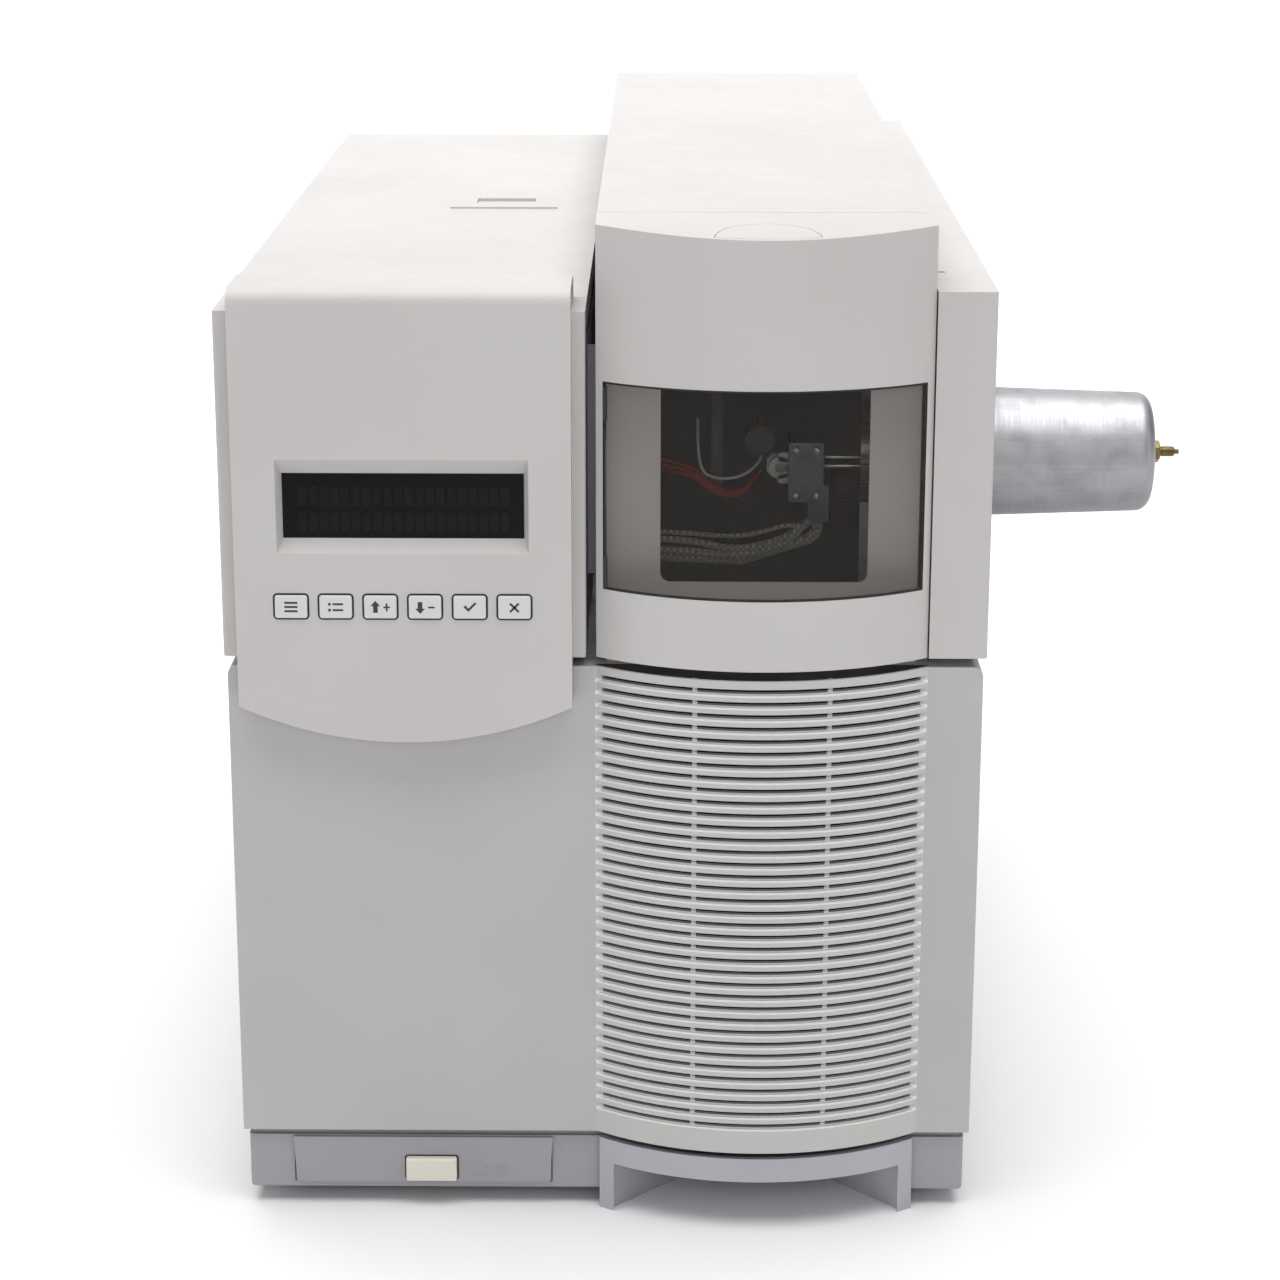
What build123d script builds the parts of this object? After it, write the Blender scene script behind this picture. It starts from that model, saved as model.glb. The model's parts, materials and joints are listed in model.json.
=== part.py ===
"""Bench-top mass spectrometer with a bow-fronted analyser column and a side transfer line.

Millimetres. +X to the instrument's right, +Y to its back, +Z up. The origin is the middle of
the base tray's underside; the rubber feet reach foot_height below it.
"""
import os
from math import cos, radians, sin, sqrt

from build123d import *

os.makedirs("parts", exist_ok=True)

# ---------------------------------------------------------------- the case as a whole
case_width = 300.0          # across the lower cover
case_depth = 548.0          # from the flat front face to the rear panel
foot_height = 7.0
cover_wall = 3.0            # moulded lower cover
shell_wall = 2.5            # moulded upper covers
sheet = 1.5                 # folded steel
upper_overhang = 1.2        # the upper covers stand this far outside the lower one
front_y = -case_depth / 2
back_y = case_depth / 2

# ---------------------------------------------------------------- levels
tray_top = 24.0
lower_cover_bottom = 27.5
lower_cover_top = 228.0
seam = 4.0                  # shadow gap between the lower and the upper covers
upper_bottom = lower_cover_top + seam
left_top = 370.3
column_top = 404.0
shoulder_step = 25.7        # the shoulder lies this far below the column's top
shoulder_top = column_top - shoulder_step

# ---------------------------------------------------------------- the bow-fronted column
column_left = -3.5
column_width = 131.0
column_bow = 21.4           # how far the bow stands in front of the flat face
column_right = column_left + column_width
column_mid = column_left + column_width / 2
bow_radius = (column_width**2 / 4 + column_bow**2) / (2 * column_bow)
bow_centre_y = front_y - column_bow + bow_radius
cap_depth = 30.0            # front mouldings wrap this far over the top
cap_gap = 0.6
nose_start = 10.0           # behind this the column's top is level, before it the top falls
nose_radius = 164.0

# ---------------------------------------------------------------- louvres
slot_pitch = 5.12
slot_count = 37
groove_height = 2.6         # shallow groove between two slats
groove_depth = 1.5
slot_height = 1.2           # cut through along the top of each groove
first_groove_drop = 3.2     # from the cover's top edge to the top of the first groove
slot_end_margin = 3.6
slat_edge = 0.4             # step that softens the top edge of each slat
rib_spacing = 53.0
rib_width = 1.9
rib_depth = 8.0

# ---------------------------------------------------------------- left module
left_inner = -7.5
bezel_left = -case_width / 2 + 5.7
bezel_right = left_inner - 5.3
bezel_proud = 12.0
bezel_corner_z = 214.5
bezel_low_z = 199.9
bezel_top = 380.5
hood_front_radius = 6.0
hood_back_radius = 8.0
bezel_wall = 2.5

# ---------------------------------------------------------------- display and keys
display_left, display_right = bezel_left + 16.8, bezel_right - 16.5
display_low, display_high = 276.9, 314.2
display_depth = 6.0
display_side_bevel = 2.0
display_sill_bevel = 4.7
display_head_bevel = 6.6
lens_thickness = 2.0
lens_lap = 1.7
lens_gap = 0.2
key_count = 6
key_pitch = 17.46
first_key_x = bezel_left + 21.85
key_z = 255.5
key_width, key_height = 12.7, 9.2
key_gap = 0.5
key_travel = 1.5
key_proud = 1.0
board_thickness = 1.6

# ---------------------------------------------------------------- transfer line
line_y = front_y + 100.0
line_z = 293.5
cup_root_radius = 27.8
cup_tip_radius = 24.9
cup_length_out = 75.4       # beyond the upper cover's side
cup_edge_radius = 6.0
cup_wall = 3.0
line_tube_radius = 6.0
nut_across_flats = 8.2
nut_length = 4.4
fitting_radius = 2.0
fitting_length = 6.4
fitting_root_radius = 2.6   # inside the nut

# ---------------------------------------------------------------- analyser cover hinge
hinge_y = back_y - 10.0
hinge_z = 300.0
hinge_pin_radius = 3.0
hinge_fit = 0.05            # radial, pin in the cover's knuckle
knuckle_radius = 6.5
knuckle_width = 16.0
hinge_x = (20.0, 104.0)
ear_width = 4.0
ear_gap = 0.5
slot_front_room = 30.0      # transfer-line slot in the cover's side, ahead of the line
slot_back_room = 42.0       # and behind it, for the swing

# ---------------------------------------------------------------- inside
deck_thickness = 3.0
deck_top = lower_cover_top
ledge_depth = 12.0
chamber_left, chamber_right = 22.0, 104.0
chamber_front, chamber_back = front_y + 72.0, front_y + 430.0
chamber_low, chamber_high = deck_top + 12.0, column_top - 68.0
chamber_wall = 12.0
side_plate_thickness = 10.0
pump_y = front_y + 230.0
pump_radius = 44.0
pump_low = 104.0
fan_z = 118.0
fan_size = 92.0
fan_depth = 25.0
fan_bore = 42.0
fan_y = front_y + 22.0


def front_plane(behind=0.0):
    """Upright plane facing the user, so far behind the flat front; sketch in X and Z."""
    return Plane.XZ.offset(-(front_y + behind))


def side_plane(x):
    """Upright plane facing +X at x; sketch in Y and Z."""
    return Plane.YZ.offset(x)


def level(z):
    """Level plane at z; sketch in X and Y."""
    return Plane.XY.offset(z)


def area(u0, u1, v0, v1, mode=Mode.ADD):
    """Rectangle between two limits each way, in the sketch being drawn."""
    with Locations(((u0 + u1) / 2, (v0 + v1) / 2)):
        Rectangle(u1 - u0, v1 - v0, mode=mode)


def bow(inset, to_y, mode=Mode.ADD):
    """Plan of the bow-fronted column, drawn inset from its outside and closed at to_y."""
    left, right = column_left + inset, column_right - inset
    radius = bow_radius - inset
    corner_y = bow_centre_y - sqrt(radius**2 - (column_width / 2 - inset) ** 2)
    with BuildLine() as outline:
        ThreePointArc((left, corner_y), (column_mid, bow_centre_y - radius), (right, corner_y))
        Polyline((right, corner_y), (right, to_y), (left, to_y), (left, corner_y))
    make_face(outline.edges(), mode=mode)


def write(piece, name):
    """Label one finished piece and write its STEP file."""
    piece.part.label = name
    export_step(piece.part, f"parts/{name}.step")


# ================================================================= base tray
tray_floor = 3.0
tray_half = case_width / 2 - 1.8
tray_front = front_y + 3.0
tray_back = back_y - 3.0
rim_inset = 1.7
rim_top = lower_cover_bottom + 6.0
foot_x = 122.0
foot_inset = 45.0
foot_screw_hole = 2.6
foot_places = [(x, y) for x in (-foot_x, foot_x) for y in (front_y + foot_inset, back_y - foot_inset)]
inlet_mouth = 130.6         # air inlet under the column, at the tray's front
inlet_throat = 58.6
inlet_depth = 32.0
inlet_roof = 14.3
panel_left, panel_right = -129.2, -22.8
panel_low, panel_high = 3.4, 21.5
panel_edge = 3.0
button_x, button_z = -72.5, 9.8
button_width, button_height = 21.0, 10.0
button_gap = 0.4

with BuildPart() as base_tray:
    with BuildSketch(level(0)):
        area(-tray_half, tray_half, tray_front, tray_back)
    extrude(amount=tray_top)
    fillet(base_tray.edges().filter_by(Axis.Z), radius=2.0)
    fillet(base_tray.faces().sort_by(Axis.Z)[0].edges(), radius=1.5)
    with BuildSketch(level(tray_top)):
        area(-tray_half + rim_inset, tray_half - rim_inset, tray_front + rim_inset, tray_back - rim_inset)
    extrude(amount=rim_top - tray_top)
    with BuildSketch(level(tray_floor)):
        area(-tray_half + rim_inset + sheet, tray_half - rim_inset - sheet,
             tray_front + rim_inset + sheet, tray_back - rim_inset - sheet)
    extrude(amount=rim_top, mode=Mode.SUBTRACT)
    # air inlet: a funnel-shaped way through the front wall and the floor
    with BuildSketch(level(-1)):
        with BuildLine():
            Polyline((column_mid - inlet_mouth / 2, front_y - 1),
                     (column_mid + inlet_mouth / 2, front_y - 1),
                     (column_mid + inlet_throat / 2, tray_front + inlet_depth),
                     (column_mid - inlet_throat / 2, tray_front + inlet_depth), close=True)
        make_face()
    extrude(amount=inlet_roof + 4.0, mode=Mode.SUBTRACT)
    # opening behind the switch panel
    with BuildSketch(front_plane(0)):
        area(panel_left + panel_edge, panel_right - panel_edge, panel_low + 1.0, panel_high - 1.0)
    extrude(amount=-10.0, mode=Mode.SUBTRACT)
    # floor vents under the electronics
    with BuildSketch(level(-1)):
        with Locations((-75.0, 40.0)):
            with GridLocations(0, 14.0, 1, 12):
                SlotOverall(90.0, 5.0)
    extrude(amount=tray_floor + 2.0, mode=Mode.SUBTRACT)
    # foot screws
    with BuildSketch(level(-1)):
        with Locations(*foot_places):
            Circle(foot_screw_hole)
    extrude(amount=tray_floor + 2.0, mode=Mode.SUBTRACT)
write(base_tray, "base_tray")

# ================================================================= feet
foot_radius = 13.0
foot_seat = -3.6            # the screw's head pulls the foot up from here
screw_head_radius = 4.6

with BuildPart() as rubber_feet:
    with BuildSketch(level(-foot_height)):
        with Locations(*foot_places):
            Circle(foot_radius)
    extrude(amount=foot_height, taper=-8)
    with BuildSketch(level(-foot_height)):
        with Locations(*foot_places):
            Circle(screw_head_radius + 0.4)
    extrude(amount=foot_height + foot_seat, mode=Mode.SUBTRACT)
    with BuildSketch(level(foot_seat)):
        with Locations(*foot_places):
            Circle(foot_screw_hole)
    extrude(amount=foot_height, mode=Mode.SUBTRACT)
write(rubber_feet, "rubber_feet")

with BuildPart() as foot_screws:
    with BuildSketch(level(foot_seat)):
        with Locations(*foot_places):
            Circle(screw_head_radius)
            RegularPolygon(1.8, 6, mode=Mode.SUBTRACT)
    extrude(amount=-2.2)
    with BuildSketch(level(foot_seat)):
        with Locations(*foot_places):
            Circle(foot_screw_hole - 0.1)
    extrude(amount=tray_floor - foot_seat)
write(foot_screws, "foot_screws")

# ================================================================= front skirt
skirt_inset = 0.8
skirt_wall = 2.6
skirt_top = lower_cover_bottom - 3.0
skirt_leg = 5.9
wing_end_x = 26.0           # from the column's middle to a wing's inner end
with BuildPart() as front_skirt:
    with BuildSketch(level(-foot_height)):
        bow(skirt_inset, front_y + 2.6)
        bow(skirt_inset + skirt_wall, front_y + 3.6, mode=Mode.SUBTRACT)
    extrude(amount=skirt_top + foot_height)
    # arch between the two legs
    with BuildSketch(front_plane(-column_bow - 5)):
        area(column_left + skirt_inset + skirt_leg, column_right - skirt_inset - skirt_leg,
             -foot_height - 1, inlet_roof)
    extrude(amount=-(column_bow + 20), mode=Mode.SUBTRACT)
    # legs filled behind the bow and turned back along the funnel
    for hand in (-1, 1):
        leg_x = column_mid + hand * (column_width / 2 - skirt_inset)
        with BuildSketch(level(-foot_height)):
            with BuildLine():
                Polyline((leg_x, front_y - 0.2), (leg_x - hand * skirt_leg, front_y - 0.2),
                         (column_mid + hand * wing_end_x, tray_front + inlet_depth - 1),
                         (column_mid + hand * (wing_end_x + 2.6), tray_front + inlet_depth - 1),
                         (leg_x - hand * 3.5, front_y + 2.4), (leg_x, front_y + 2.4), close=True)
            make_face()
        extrude(amount=foot_height + inlet_roof)
    # roof of the funnel
    with BuildSketch(level(inlet_roof)):
        bow(skirt_inset + 1.0, front_y + 2.4)
        with BuildLine():
            Polyline((column_mid - inlet_mouth / 2 + 6, front_y - 0.5),
                     (column_mid + inlet_mouth / 2 - 6, front_y - 0.5),
                     (column_mid + wing_end_x, tray_front + inlet_depth - 1),
                     (column_mid - wing_end_x, tray_front + inlet_depth - 1), close=True)
        make_face()
    extrude(amount=2.2)
write(front_skirt, "front_skirt")

# ================================================================= lower cover with its louvres
wrap_depth = 40.0
with BuildPart() as lower_cover:
    half = case_width / 2
    with BuildSketch(level(lower_cover_bottom)):
        area(-half, half, front_y, front_y + wrap_depth)
        bow(0, front_y + cover_wall)
        area(-half + cover_wall, half - cover_wall, front_y + cover_wall, front_y + wrap_depth,
             mode=Mode.SUBTRACT)
        bow(cover_wall, front_y + cover_wall + 1, mode=Mode.SUBTRACT)
    extrude(amount=lower_cover_top - lower_cover_bottom)
    # ledge along the top, turned in towards the deck
    with BuildSketch(level(lower_cover_top - cover_wall)):
        area(-half + 1, half - 1, front_y + 1, front_y + ledge_depth)
        bow(1, front_y + ledge_depth)
    extrude(amount=cover_wall)
    fillet(lower_cover.edges().filter_by(Axis.Y).group_by(Axis.Z)[-1].sort_by(Axis.X)[0], radius=4.0)
    fillet(lower_cover.edges().filter_by(Axis.Y).group_by(Axis.Z)[-1].sort_by(Axis.X)[-1], radius=4.0)
    # louvres: a shallow groove right across the bow, cut through along its top between the end margins
    groove_tops = [lower_cover_top - first_groove_drop - i * slot_pitch for i in range(slot_count)]
    with BuildSketch(*[level(z - groove_height) for z in groove_tops]):
        bow(-2, front_y)
        bow(groove_depth, front_y + 3, mode=Mode.SUBTRACT)
    extrude(amount=groove_height, mode=Mode.SUBTRACT)
    with BuildSketch(*[level(z - groove_height - slat_edge) for z in groove_tops]):
        bow(-2, front_y)
        bow(slat_edge, front_y + 3, mode=Mode.SUBTRACT)
    extrude(amount=slat_edge, mode=Mode.SUBTRACT)
    with BuildSketch(*[level(z - slot_height) for z in groove_tops]):
        area(column_left + slot_end_margin, column_right - slot_end_margin, front_y - column_bow - 2,
             front_y + cover_wall + 1)
    extrude(amount=slot_height, mode=Mode.SUBTRACT)
    # two upright ribs tie the slats from behind
    rib_front = bow_centre_y - sqrt((bow_radius - groove_depth) ** 2 - (rib_spacing / 2) ** 2)
    with BuildSketch(level(lower_cover_bottom + 2)):
        for rib_x in (column_mid - rib_spacing / 2, column_mid + rib_spacing / 2):
            area(rib_x - rib_width / 2, rib_x + rib_width / 2, rib_front + 0.3, rib_front + rib_depth)
    extrude(amount=lower_cover_top - lower_cover_bottom - 3)
write(lower_cover, "lower_cover")

# ================================================================= lower side panels
panel_low_z = rim_top - 5.8
flange = 14.0
stud_length = 8.0
board_x = -case_width / 2 + sheet + stud_length
board_front, board_back = front_y + 70.0, back_y - 250.0
board_low, board_high = 40.0, 190.0
stud_places = [(y, z) for y in (board_front + 6, board_back - 6) for z in (board_low + 6, board_high - 6)]
for hand, name in ((-1, "left_side_panel"), (1, "right_side_panel")):
    outside = hand * case_width / 2
    inside = outside - hand * sheet
    with BuildPart() as side_panel:
        # one folded sheet: the wall with a flange turned in along its top
        with BuildSketch(Plane.XZ.offset(-(front_y + wrap_depth + 0.4))):
            area(*sorted((outside, inside)), panel_low_z, deck_top - deck_thickness)
            area(*sorted((outside, outside - hand * flange)), deck_top - deck_thickness - sheet,
                 deck_top - deck_thickness)
        extrude(amount=-(case_depth - wrap_depth - 0.8))
        # vents: rows of upright slots towards the back
        with BuildSketch(side_plane(outside + hand)):
            with Locations((back_y - 150.0, lower_cover_bottom + 60.0)):
                with GridLocations(11.0, 46.0, 16, 2):
                    SlotOverall(34.0, 4.0, rotation=90)
        extrude(amount=-hand * (sheet + 2), mode=Mode.SUBTRACT)
        if hand < 0:
            # pressed-in studs for the main board
            with BuildSketch(side_plane(inside)):
                with Locations(*stud_places):
                    RegularPolygon(3.2, 6)
            extrude(amount=stud_length)
    write(side_panel, name)

# ================================================================= deck between the two bays
pump_hole = pump_radius + 6.0
with BuildPart() as deck:
    with BuildSketch(level(deck_top - deck_thickness)):
        area(-case_width / 2 + cover_wall + 0.3, case_width / 2 - cover_wall - 0.3,
             front_y + ledge_depth + 0.4, back_y - sheet - 0.4)
        with Locations((column_mid, pump_y)):
            Circle(pump_hole, mode=Mode.SUBTRACT)
        # cable slots behind the display and beside the analyser
        with Locations((-70.0, front_y + 60.0), (-70.0, back_y - 90.0)):
            SlotOverall(70.0, 16.0, mode=Mode.SUBTRACT)
    extrude(amount=deck_thickness)
write(deck, "deck")

# ================================================================= rear panel
vent_x, vent_z = 62.0, 120.0
vent_radius = 42.0
mains_x, mains_z = -110.0, 60.0
mains_width, mains_height = 47.0, 27.5
net_x, net_z = -30.0, 60.0
net_width, net_height = 17.0, 15.0
port_x, port_z = 120.0, 60.0
port_radius = 5.0
port_bulkhead = 9.0
with BuildPart() as rear_panel:
    with BuildSketch(Plane.XZ.offset(-back_y)):
        area(-case_width / 2 + sheet + 0.3, case_width / 2 - sheet - 0.3,
             panel_low_z, deck_top - deck_thickness - sheet - 0.3)
    extrude(amount=sheet)
    # fan vent: concentric rows of slots
    with BuildSketch(Plane.XZ.offset(-back_y)):
        with Locations((vent_x, vent_z)):
            for row in range(-5, 6):
                row_half = sqrt(vent_radius**2 - (row * 7.4) ** 2)
                with Locations((0, row * 7.4)):
                    SlotOverall(2 * row_half, 4.6)
        with Locations((mains_x, mains_z)):
            Rectangle(mains_width, mains_height)
        with Locations((net_x, net_z)):
            Rectangle(net_width, net_height)
        with Locations((port_x, port_z)):
            Circle(port_bulkhead)
    extrude(amount=sheet, mode=Mode.SUBTRACT)
write(rear_panel, "rear_panel")

# ================================================================= mains inlet
inlet_flange = 2.5
with BuildPart() as mains_inlet:
    with BuildSketch(Plane.XZ.offset(-back_y)):
        with Locations((mains_x, mains_z)):
            RectangleRounded(mains_width + 5, mains_height + 5, 2.0)
    extrude(amount=-inlet_flange)
    with BuildSketch(Plane.XZ.offset(-back_y)):
        with Locations((mains_x, mains_z)):
            Rectangle(mains_width - 0.6, mains_height - 0.6)
    extrude(amount=24.0)
    # socket for the lead: a rectangle with two cut corners, and its three pins
    with BuildSketch(Plane.XZ.offset(-back_y - inlet_flange)):
        with Locations((mains_x - 9.0, mains_z)):
            Rectangle(24.4, 16.4)
    extrude(amount=17.5, mode=Mode.SUBTRACT)
    with BuildSketch(Plane.XZ.offset(-back_y + 15.0)):
        with Locations((mains_x - 16.0, mains_z - 2.0), (mains_x - 9.0, mains_z + 2.0),
                       (mains_x - 2.0, mains_z - 2.0)):
            Rectangle(2.0, 4.0)
    extrude(amount=-12.0)
write(mains_inlet, "mains_inlet")

with BuildPart() as network_socket:
    with BuildSketch(Plane.XZ.offset(-back_y)):
        with Locations((net_x, net_z)):
            Rectangle(net_width - 0.6, net_height - 0.6)
            Rectangle(11.8, 8.2, mode=Mode.SUBTRACT)
    extrude(amount=18.0)
    with BuildSketch(Plane.XZ.offset(-back_y + 18.0)):
        with Locations((net_x, net_z)):
            Rectangle(net_width + 4.0, net_height + 4.0)
    extrude(amount=board_thickness)
    with BuildSketch(Plane.XZ.offset(-back_y)):
        with Locations((net_x, net_z)):
            Rectangle(net_width + 3.0, net_height + 3.0)
            Rectangle(11.8, 8.2, mode=Mode.SUBTRACT)
    extrude(amount=-0.8)
write(network_socket, "network_socket")

# ================================================================= foreline port and hose
with BuildPart() as foreline_port:
    with BuildSketch(Plane.XZ.offset(-back_y)):
        with Locations((port_x, port_z)):
            Circle(port_bulkhead + 3.5)
    extrude(amount=-3.0)
    with BuildSketch(Plane.XZ.offset(-back_y)):
        with Locations((port_x, port_z)):
            Circle(port_bulkhead - 0.3)
    extrude(amount=14.0)
    with BuildSketch(Plane.XZ.offset(-back_y - 3.0)):
        with Locations((port_x, port_z)):
            Circle(port_radius)
    extrude(amount=-22.0)
    chamfer(foreline_port.faces().sort_by(Axis.Y)[-1].outer_wire().edges(), length=1.0)
    with Locations(Plane((port_x, back_y, port_z), z_dir=(0, 1, 0))):
        Hole(radius=3.2)
write(foreline_port, "foreline_port")

# ================================================================= left module: control fascia
fascia_front = front_y - upper_overhang
fascia_back = front_y + cap_depth
left_outer = -case_width / 2 - upper_overhang
bezel_front = front_y - bezel_proud
bezel_mid = (bezel_left + bezel_right) / 2
key_xs = [first_key_x + i * key_pitch for i in range(key_count)]
board_y = front_y - 2.6
pocket_left, pocket_right = bezel_left + bezel_wall, bezel_right - bezel_wall
pocket_low, pocket_high = key_z - 19.5, left_top - 6.3
board_top = display_high + 14.8

with BuildPart() as control_fascia:
    # front moulding of the left module, open at its back and underneath
    with BuildSketch(side_plane(left_outer)):
        area(fascia_front, fascia_back, upper_bottom, left_top)
    extrude(amount=left_inner - left_outer)
    fillet(control_fascia.edges().filter_by(Axis.Z).group_by(Axis.Y)[0], radius=1.5)
    with BuildSketch(side_plane(left_outer + shell_wall)):
        area(fascia_front + shell_wall, fascia_back + 1, upper_bottom - 1, left_top - shell_wall)
    extrude(amount=left_inner - left_outer - 2 * shell_wall, mode=Mode.SUBTRACT)
    # raised bezel: hangs over the lower cover with a bowed lower edge
    with BuildSketch(front_plane(-upper_overhang)):
        with BuildLine():
            ThreePointArc((bezel_left, bezel_corner_z), (bezel_mid, bezel_low_z),
                          (bezel_right, bezel_corner_z))
            Polyline((bezel_right, bezel_corner_z), (bezel_right, left_top), (bezel_left, left_top),
                     (bezel_left, bezel_corner_z))
        make_face()
    extrude(amount=bezel_proud - upper_overhang)
    # hood: the bezel's head, carried back over the top with rounded ends
    with BuildSketch(side_plane(bezel_left)) as hood_side:
        area(bezel_front, fascia_back, left_top - 1, bezel_top)
        fillet(hood_side.vertices().group_by(Axis.Y)[-1].sort_by(Axis.X)[0], radius=hood_front_radius)
        fillet(hood_side.vertices().group_by(Axis.Y)[-1].sort_by(Axis.X)[-1], radius=hood_back_radius)
    extrude(amount=bezel_right - bezel_left)
    # hollow behind the bezel
    with BuildSketch(front_plane(-bezel_proud + bezel_wall)):
        area(pocket_left, pocket_right, pocket_low, pocket_high)
    extrude(amount=-(bezel_proud - bezel_wall + shell_wall + 1), mode=Mode.SUBTRACT)
    # display frame inside the hollow, with sloping reveals in front
    with BuildSketch(front_plane(-bezel_proud + bezel_wall)):
        area(display_left - 3, display_right + 3, display_low - 3, display_high + 3)
    extrude(amount=-(display_depth + lens_thickness - bezel_wall))
    with BuildSketch(front_plane(-bezel_proud)):
        area(display_left, display_right, display_low, display_high)
    with BuildSketch(front_plane(-bezel_proud + display_depth)):
        area(display_left + display_side_bevel, display_right - display_side_bevel,
             display_low + display_sill_bevel, display_high - display_head_bevel)
    loft(mode=Mode.SUBTRACT)
    with BuildSketch(front_plane(-bezel_proud + display_depth)):
        area(display_left + display_side_bevel - lens_lap, display_right - display_side_bevel + lens_lap,
             display_low + display_sill_bevel - lens_lap, display_high - display_head_bevel + lens_lap)
    extrude(amount=-lens_thickness - 1, mode=Mode.SUBTRACT)
    # key openings
    with BuildSketch(front_plane(-bezel_proud)):
        with Locations(*[(x, key_z) for x in key_xs]):
            RectangleRounded(key_width + 2 * key_gap, key_height + 2 * key_gap, 1.2)
    extrude(amount=-bezel_wall - 1, mode=Mode.SUBTRACT)
    # bosses for the board
    with BuildSketch(front_plane(-bezel_proud + bezel_wall)):
        with Locations(*[(x, z) for x in (pocket_left + 3.4, pocket_right - 3.4)
                         for z in (pocket_low + 4, board_top - 3)]):
            Circle(3.0)
    extrude(amount=-(board_y - bezel_front - bezel_wall))
write(control_fascia, "control_fascia")

with BuildPart() as display_lens:
    with BuildSketch(front_plane(-bezel_proud + display_depth)):
        area(display_left + display_side_bevel - lens_lap + lens_gap,
             display_right - display_side_bevel + lens_lap - lens_gap,
             display_low + display_sill_bevel - lens_lap + lens_gap,
             display_high - display_head_bevel + lens_lap - lens_gap)
    extrude(amount=-lens_thickness)
write(display_lens, "display_lens")

with BuildPart() as display_module:
    with BuildSketch(front_plane(-bezel_proud + display_depth + lens_thickness)):
        area(display_left + 1.5, display_right - 1.5, display_low + 2.5, display_high - 3.5)
    extrude(amount=-(board_y - bezel_front - display_depth - lens_thickness))
write(display_module, "display_module")

with BuildPart() as control_board:
    with BuildSketch(Plane.XZ.offset(-board_y)):
        area(pocket_left + 0.5, pocket_right - 0.5, pocket_low + 1, board_top)
    extrude(amount=-board_thickness)
    # ribbon connector and parts on its back
    with BuildSketch(Plane.XZ.offset(-board_y - board_thickness)):
        with Locations((bezel_mid - 20, display_high - 14), (bezel_mid + 20, display_high - 14)):
            Rectangle(22.0, 12.0)
        with Locations((bezel_mid, key_z + 7)):
            Rectangle(40.0, 8.0)
    extrude(amount=-5.0)
write(control_board, "control_board")

# keys: crowned caps with a retaining flange behind the bezel and a plunger on the board
key_flange = 1.2
for number, x in enumerate(key_xs, start=1):
    with BuildPart() as key:
        with BuildSketch(front_plane(-bezel_proud + bezel_wall)):
            with Locations((x, key_z)):
                RectangleRounded(key_width, key_height, 1.0)
        extrude(amount=bezel_wall + key_proud)
        fillet(key.faces().sort_by(Axis.Y)[0].edges(), radius=0.6)
        with BuildSketch(front_plane(-bezel_proud + bezel_wall)):
            with Locations((x, key_z)):
                Rectangle(key_width + 2.6, key_height + 2.6)
        extrude(amount=-key_flange)
        with BuildSketch(front_plane(-bezel_proud + bezel_wall + key_flange)):
            with Locations((x, key_z)):
                Circle(2.2)
        extrude(amount=-(board_y - bezel_front - bezel_wall - key_flange - key_travel - 0.3))
    write(key, f"key_{number}")

# ================================================================= left module: upper cover
recess_x, recess_y = left_inner - 44.5, front_y + 295.0
foot_reach = 10.0
foot_rise = 20.0
with BuildPart() as left_upper_cover:
    cover_front = fascia_back + cap_gap
    with BuildSketch(level(upper_bottom)):
        area(left_outer, left_inner, cover_front, back_y)
    extrude(amount=left_top - upper_bottom)
    fillet(left_upper_cover.edges().filter_by(Axis.Z).group_by(Axis.Y)[-1], radius=4.0)
    with BuildSketch(level(upper_bottom - 1)):
        area(left_outer + shell_wall, left_inner - shell_wall, cover_front - 1, back_y - shell_wall)
    extrude(amount=left_top - shell_wall - upper_bottom + 1, mode=Mode.SUBTRACT)
    # the inner side is open below a short skirt
    with BuildSketch(side_plane(left_inner + 1)):
        area(cover_front - 1, back_y - 20.0, upper_bottom - 1, left_top - 12.0)
    extrude(amount=-shell_wall - 2, mode=Mode.SUBTRACT)
    # feet inside the outer wall stand the cover on the deck
    with BuildSketch(level(deck_top)):
        with Locations(*((left_outer + shell_wall + foot_reach / 2, y)
                         for y in (cover_front + 40, 0.0, back_y - 40))):
            Rectangle(foot_reach, foot_reach)
    extrude(amount=foot_rise)
    # finger recess and its ridge on the top
    with BuildSketch(level(left_top - 1.4)):
        with Locations((recess_x, recess_y)):
            Rectangle(27.5, 14.0)
    extrude(amount=2.0, mode=Mode.SUBTRACT)
    with BuildSketch(level(left_top)):
        with Locations((recess_x, recess_y - 26.0)):
            Rectangle(50.0, 1.6)
    extrude(amount=0.8)
    # vents in the back
    with BuildSketch(Plane.XZ.offset(-back_y)):
        with Locations(((left_outer + left_inner) / 2, (upper_bottom + left_top) / 2)):
            with GridLocations(9.0, 1.0, 11, 1):
                SlotOverall(60.0, 4.0, rotation=90)
    extrude(amount=shell_wall + 1, mode=Mode.SUBTRACT)
write(left_upper_cover, "left_upper_cover")

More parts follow.
